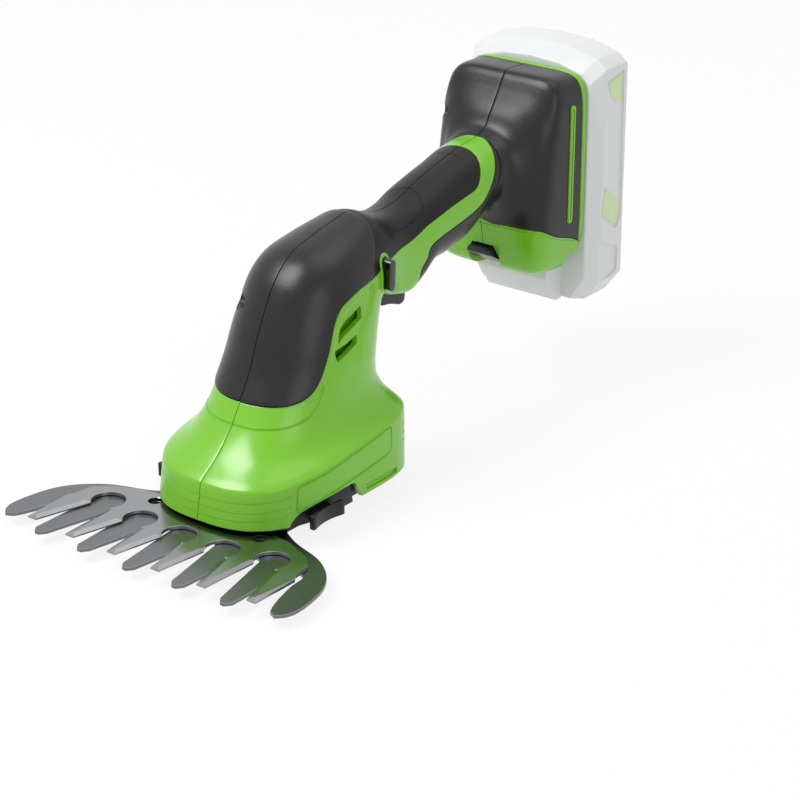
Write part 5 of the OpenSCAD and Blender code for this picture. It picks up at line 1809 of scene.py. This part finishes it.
@dataclass
class Studio:
    """Pale floor, soft lamps and the camera at the photograph's angle.

    Attributes:
        eye: the camera's place in millimetres.
        right: the camera's right-hand direction.
        up: the camera's up direction.
        focal_px: focal length in pixels of the frame.
        frame_px: width of the frame in pixels.
        sensor: width of the camera's sensor.
        clip: nearest and furthest distance that the camera shows, in metres.
        floor: the floor's colour.
        floor_half: half the floor's width.
        floor_z: the floor's height, just below the tool.
        backlight: share of the floor's own white, seen by the camera and in mirrors.
        surround: strength of the surround's light on the tool.
        aim: the point that the lamps face, in metres.
        lamps: name, place in metres, size and power of each lamp.
    """

    eye: tuple = (613.9, -710.6, 458.3)
    right: tuple = (0.7923, 0.6101, 0.0)
    up: tuple = (-0.2456, 0.3190, 0.9154)
    focal_px: float = 2497.54
    frame_px: float = 800.0
    sensor: float = 36.0
    clip: tuple = (0.01, 20.0)
    floor: str = "#f4f4f4"
    floor_half: float = 4e3
    floor_z: float = -0.2
    backlight: float = 0.85
    surround: float = 0.5
    aim: tuple = (0.0, 0.06, 0.06)
    lamps: tuple = (
        ("key", (-0.55, -0.62, 1.27), 0.75, 13.5),
        ("fill", (1.10, -0.55, 0.60), 0.9, 2.4),
        ("top", (0.10, 0.35, 1.30), 1.0, 2.6),
    )

    @staticmethod
    def backdrop_ray(tree: bpy.types.NodeTree) -> bpy.types.NodeSocket:
        """One for rays that show the background: from the camera, a mirror or through glass."""
        path = add_node(tree, "ShaderNodeLightPath").outputs
        seen = path["Is Camera Ray"]
        for kind in ("Is Transmission Ray", "Is Glossy Ray"):
            seen = add_node(tree, "ShaderNodeMath", {0: seen, 1: path[kind]}, operation="MAXIMUM").outputs[0]
        return seen

    def camera(self) -> None:
        """Places the camera from its right, up and back directions."""
        lens = bpy.data.cameras.new("photo_camera")
        lens.sensor_fit, lens.sensor_width = "HORIZONTAL", self.sensor
        lens.lens = self.focal_px * self.sensor / self.frame_px
        lens.clip_start, lens.clip_end = self.clip
        eye = bpy.data.objects.new("photo_camera", lens)
        right, up = Vector(self.right).normalized(), Vector(self.up).normalized()
        back = right.cross(up).normalized()
        turn = Matrix((right, up, back)).transposed().to_4x4()
        eye.matrix_world = Matrix.Translation(Vector(self.eye) * MM) @ turn
        bpy.context.scene.collection.objects.link(eye)
        bpy.context.scene.camera = eye

    def ground(self) -> None:
        """A pale floor under the tool, far wider than the view."""
        corners = rectangle((-self.floor_half, -self.floor_half), (self.floor_half, self.floor_half))
        piece = make_mesh("studio_floor", np.insert(corners, 2, self.floor_z, axis=1), [(0, 1, 2, 3)])
        made = bpy.data.materials.new("matt_paper_floor")
        tree = bare_tree(made)
        paper = add_node(tree, "ShaderNodeBsdfDiffuse", {"Color": linear(self.floor), "Roughness": 0.5})
        parts = {0: self.backdrop_ray(tree), 1: self.backlight}
        share = add_node(tree, "ShaderNodeMath", parts, operation="MULTIPLY").outputs[0]
        glow = add_node(tree, "ShaderNodeEmission", {"Color": WHITE, "Strength": 1.0})
        both = add_node(tree, "ShaderNodeMixShader", {0: share, 1: paper.outputs["BSDF"], 2: glow.outputs["Emission"]})
        add_node(tree, "ShaderNodeOutputMaterial", {"Surface": both.outputs["Shader"]})
        piece.data.materials.append(made)

    def light(self) -> None:
        """Three large soft lamps and an even pale surround."""
        for name, place, size, power in self.lamps:
            lamp = bpy.data.lights.new(name, "AREA")
            lamp.shape, lamp.size, lamp.energy = "DISK", size, power
            holder = bpy.data.objects.new(name, lamp)
            aim = Vector(self.aim) - Vector(place)
            holder.matrix_world = Matrix.Translation(place) @ aim.to_track_quat("-Z", "Y").to_matrix().to_4x4()
            bpy.context.scene.collection.objects.link(holder)
        world = bpy.data.worlds.new("pale_surround")
        bpy.context.scene.world = world
        tree = bare_tree(world)
        ends = {"Value": self.backdrop_ray(tree), 3: self.surround, 4: 1.0}
        strength = add_node(tree, "ShaderNodeMapRange", ends).outputs["Result"]
        sky = add_node(tree, "ShaderNodeBackground", {"Color": WHITE, "Strength": strength})
        add_node(tree, "ShaderNodeOutputWorld", {"Surface": sky.outputs["Background"]})

    def build(self) -> None:
        """Sets up floor, lamps, surround and camera."""
        bpy.context.scene.view_settings.view_transform = "Standard"
        self.ground()
        self.light()
        self.camera()


def main() -> None:
    """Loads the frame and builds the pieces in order."""
    logging.basicConfig(level=logging.INFO, format="%(name)s: %(message)s")
    for stray in list(bpy.data.objects):
        bpy.data.objects.remove(stray)
    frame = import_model()
    Studio().build()
    shells = Mouldings()
    shells.build()
    DockTrim(shells).build()
    Controls().build()
    Battery().build()
    Combs().build()
    CadNodes().build(frame["nodes"])


if __name__ == "__main__":
    main()
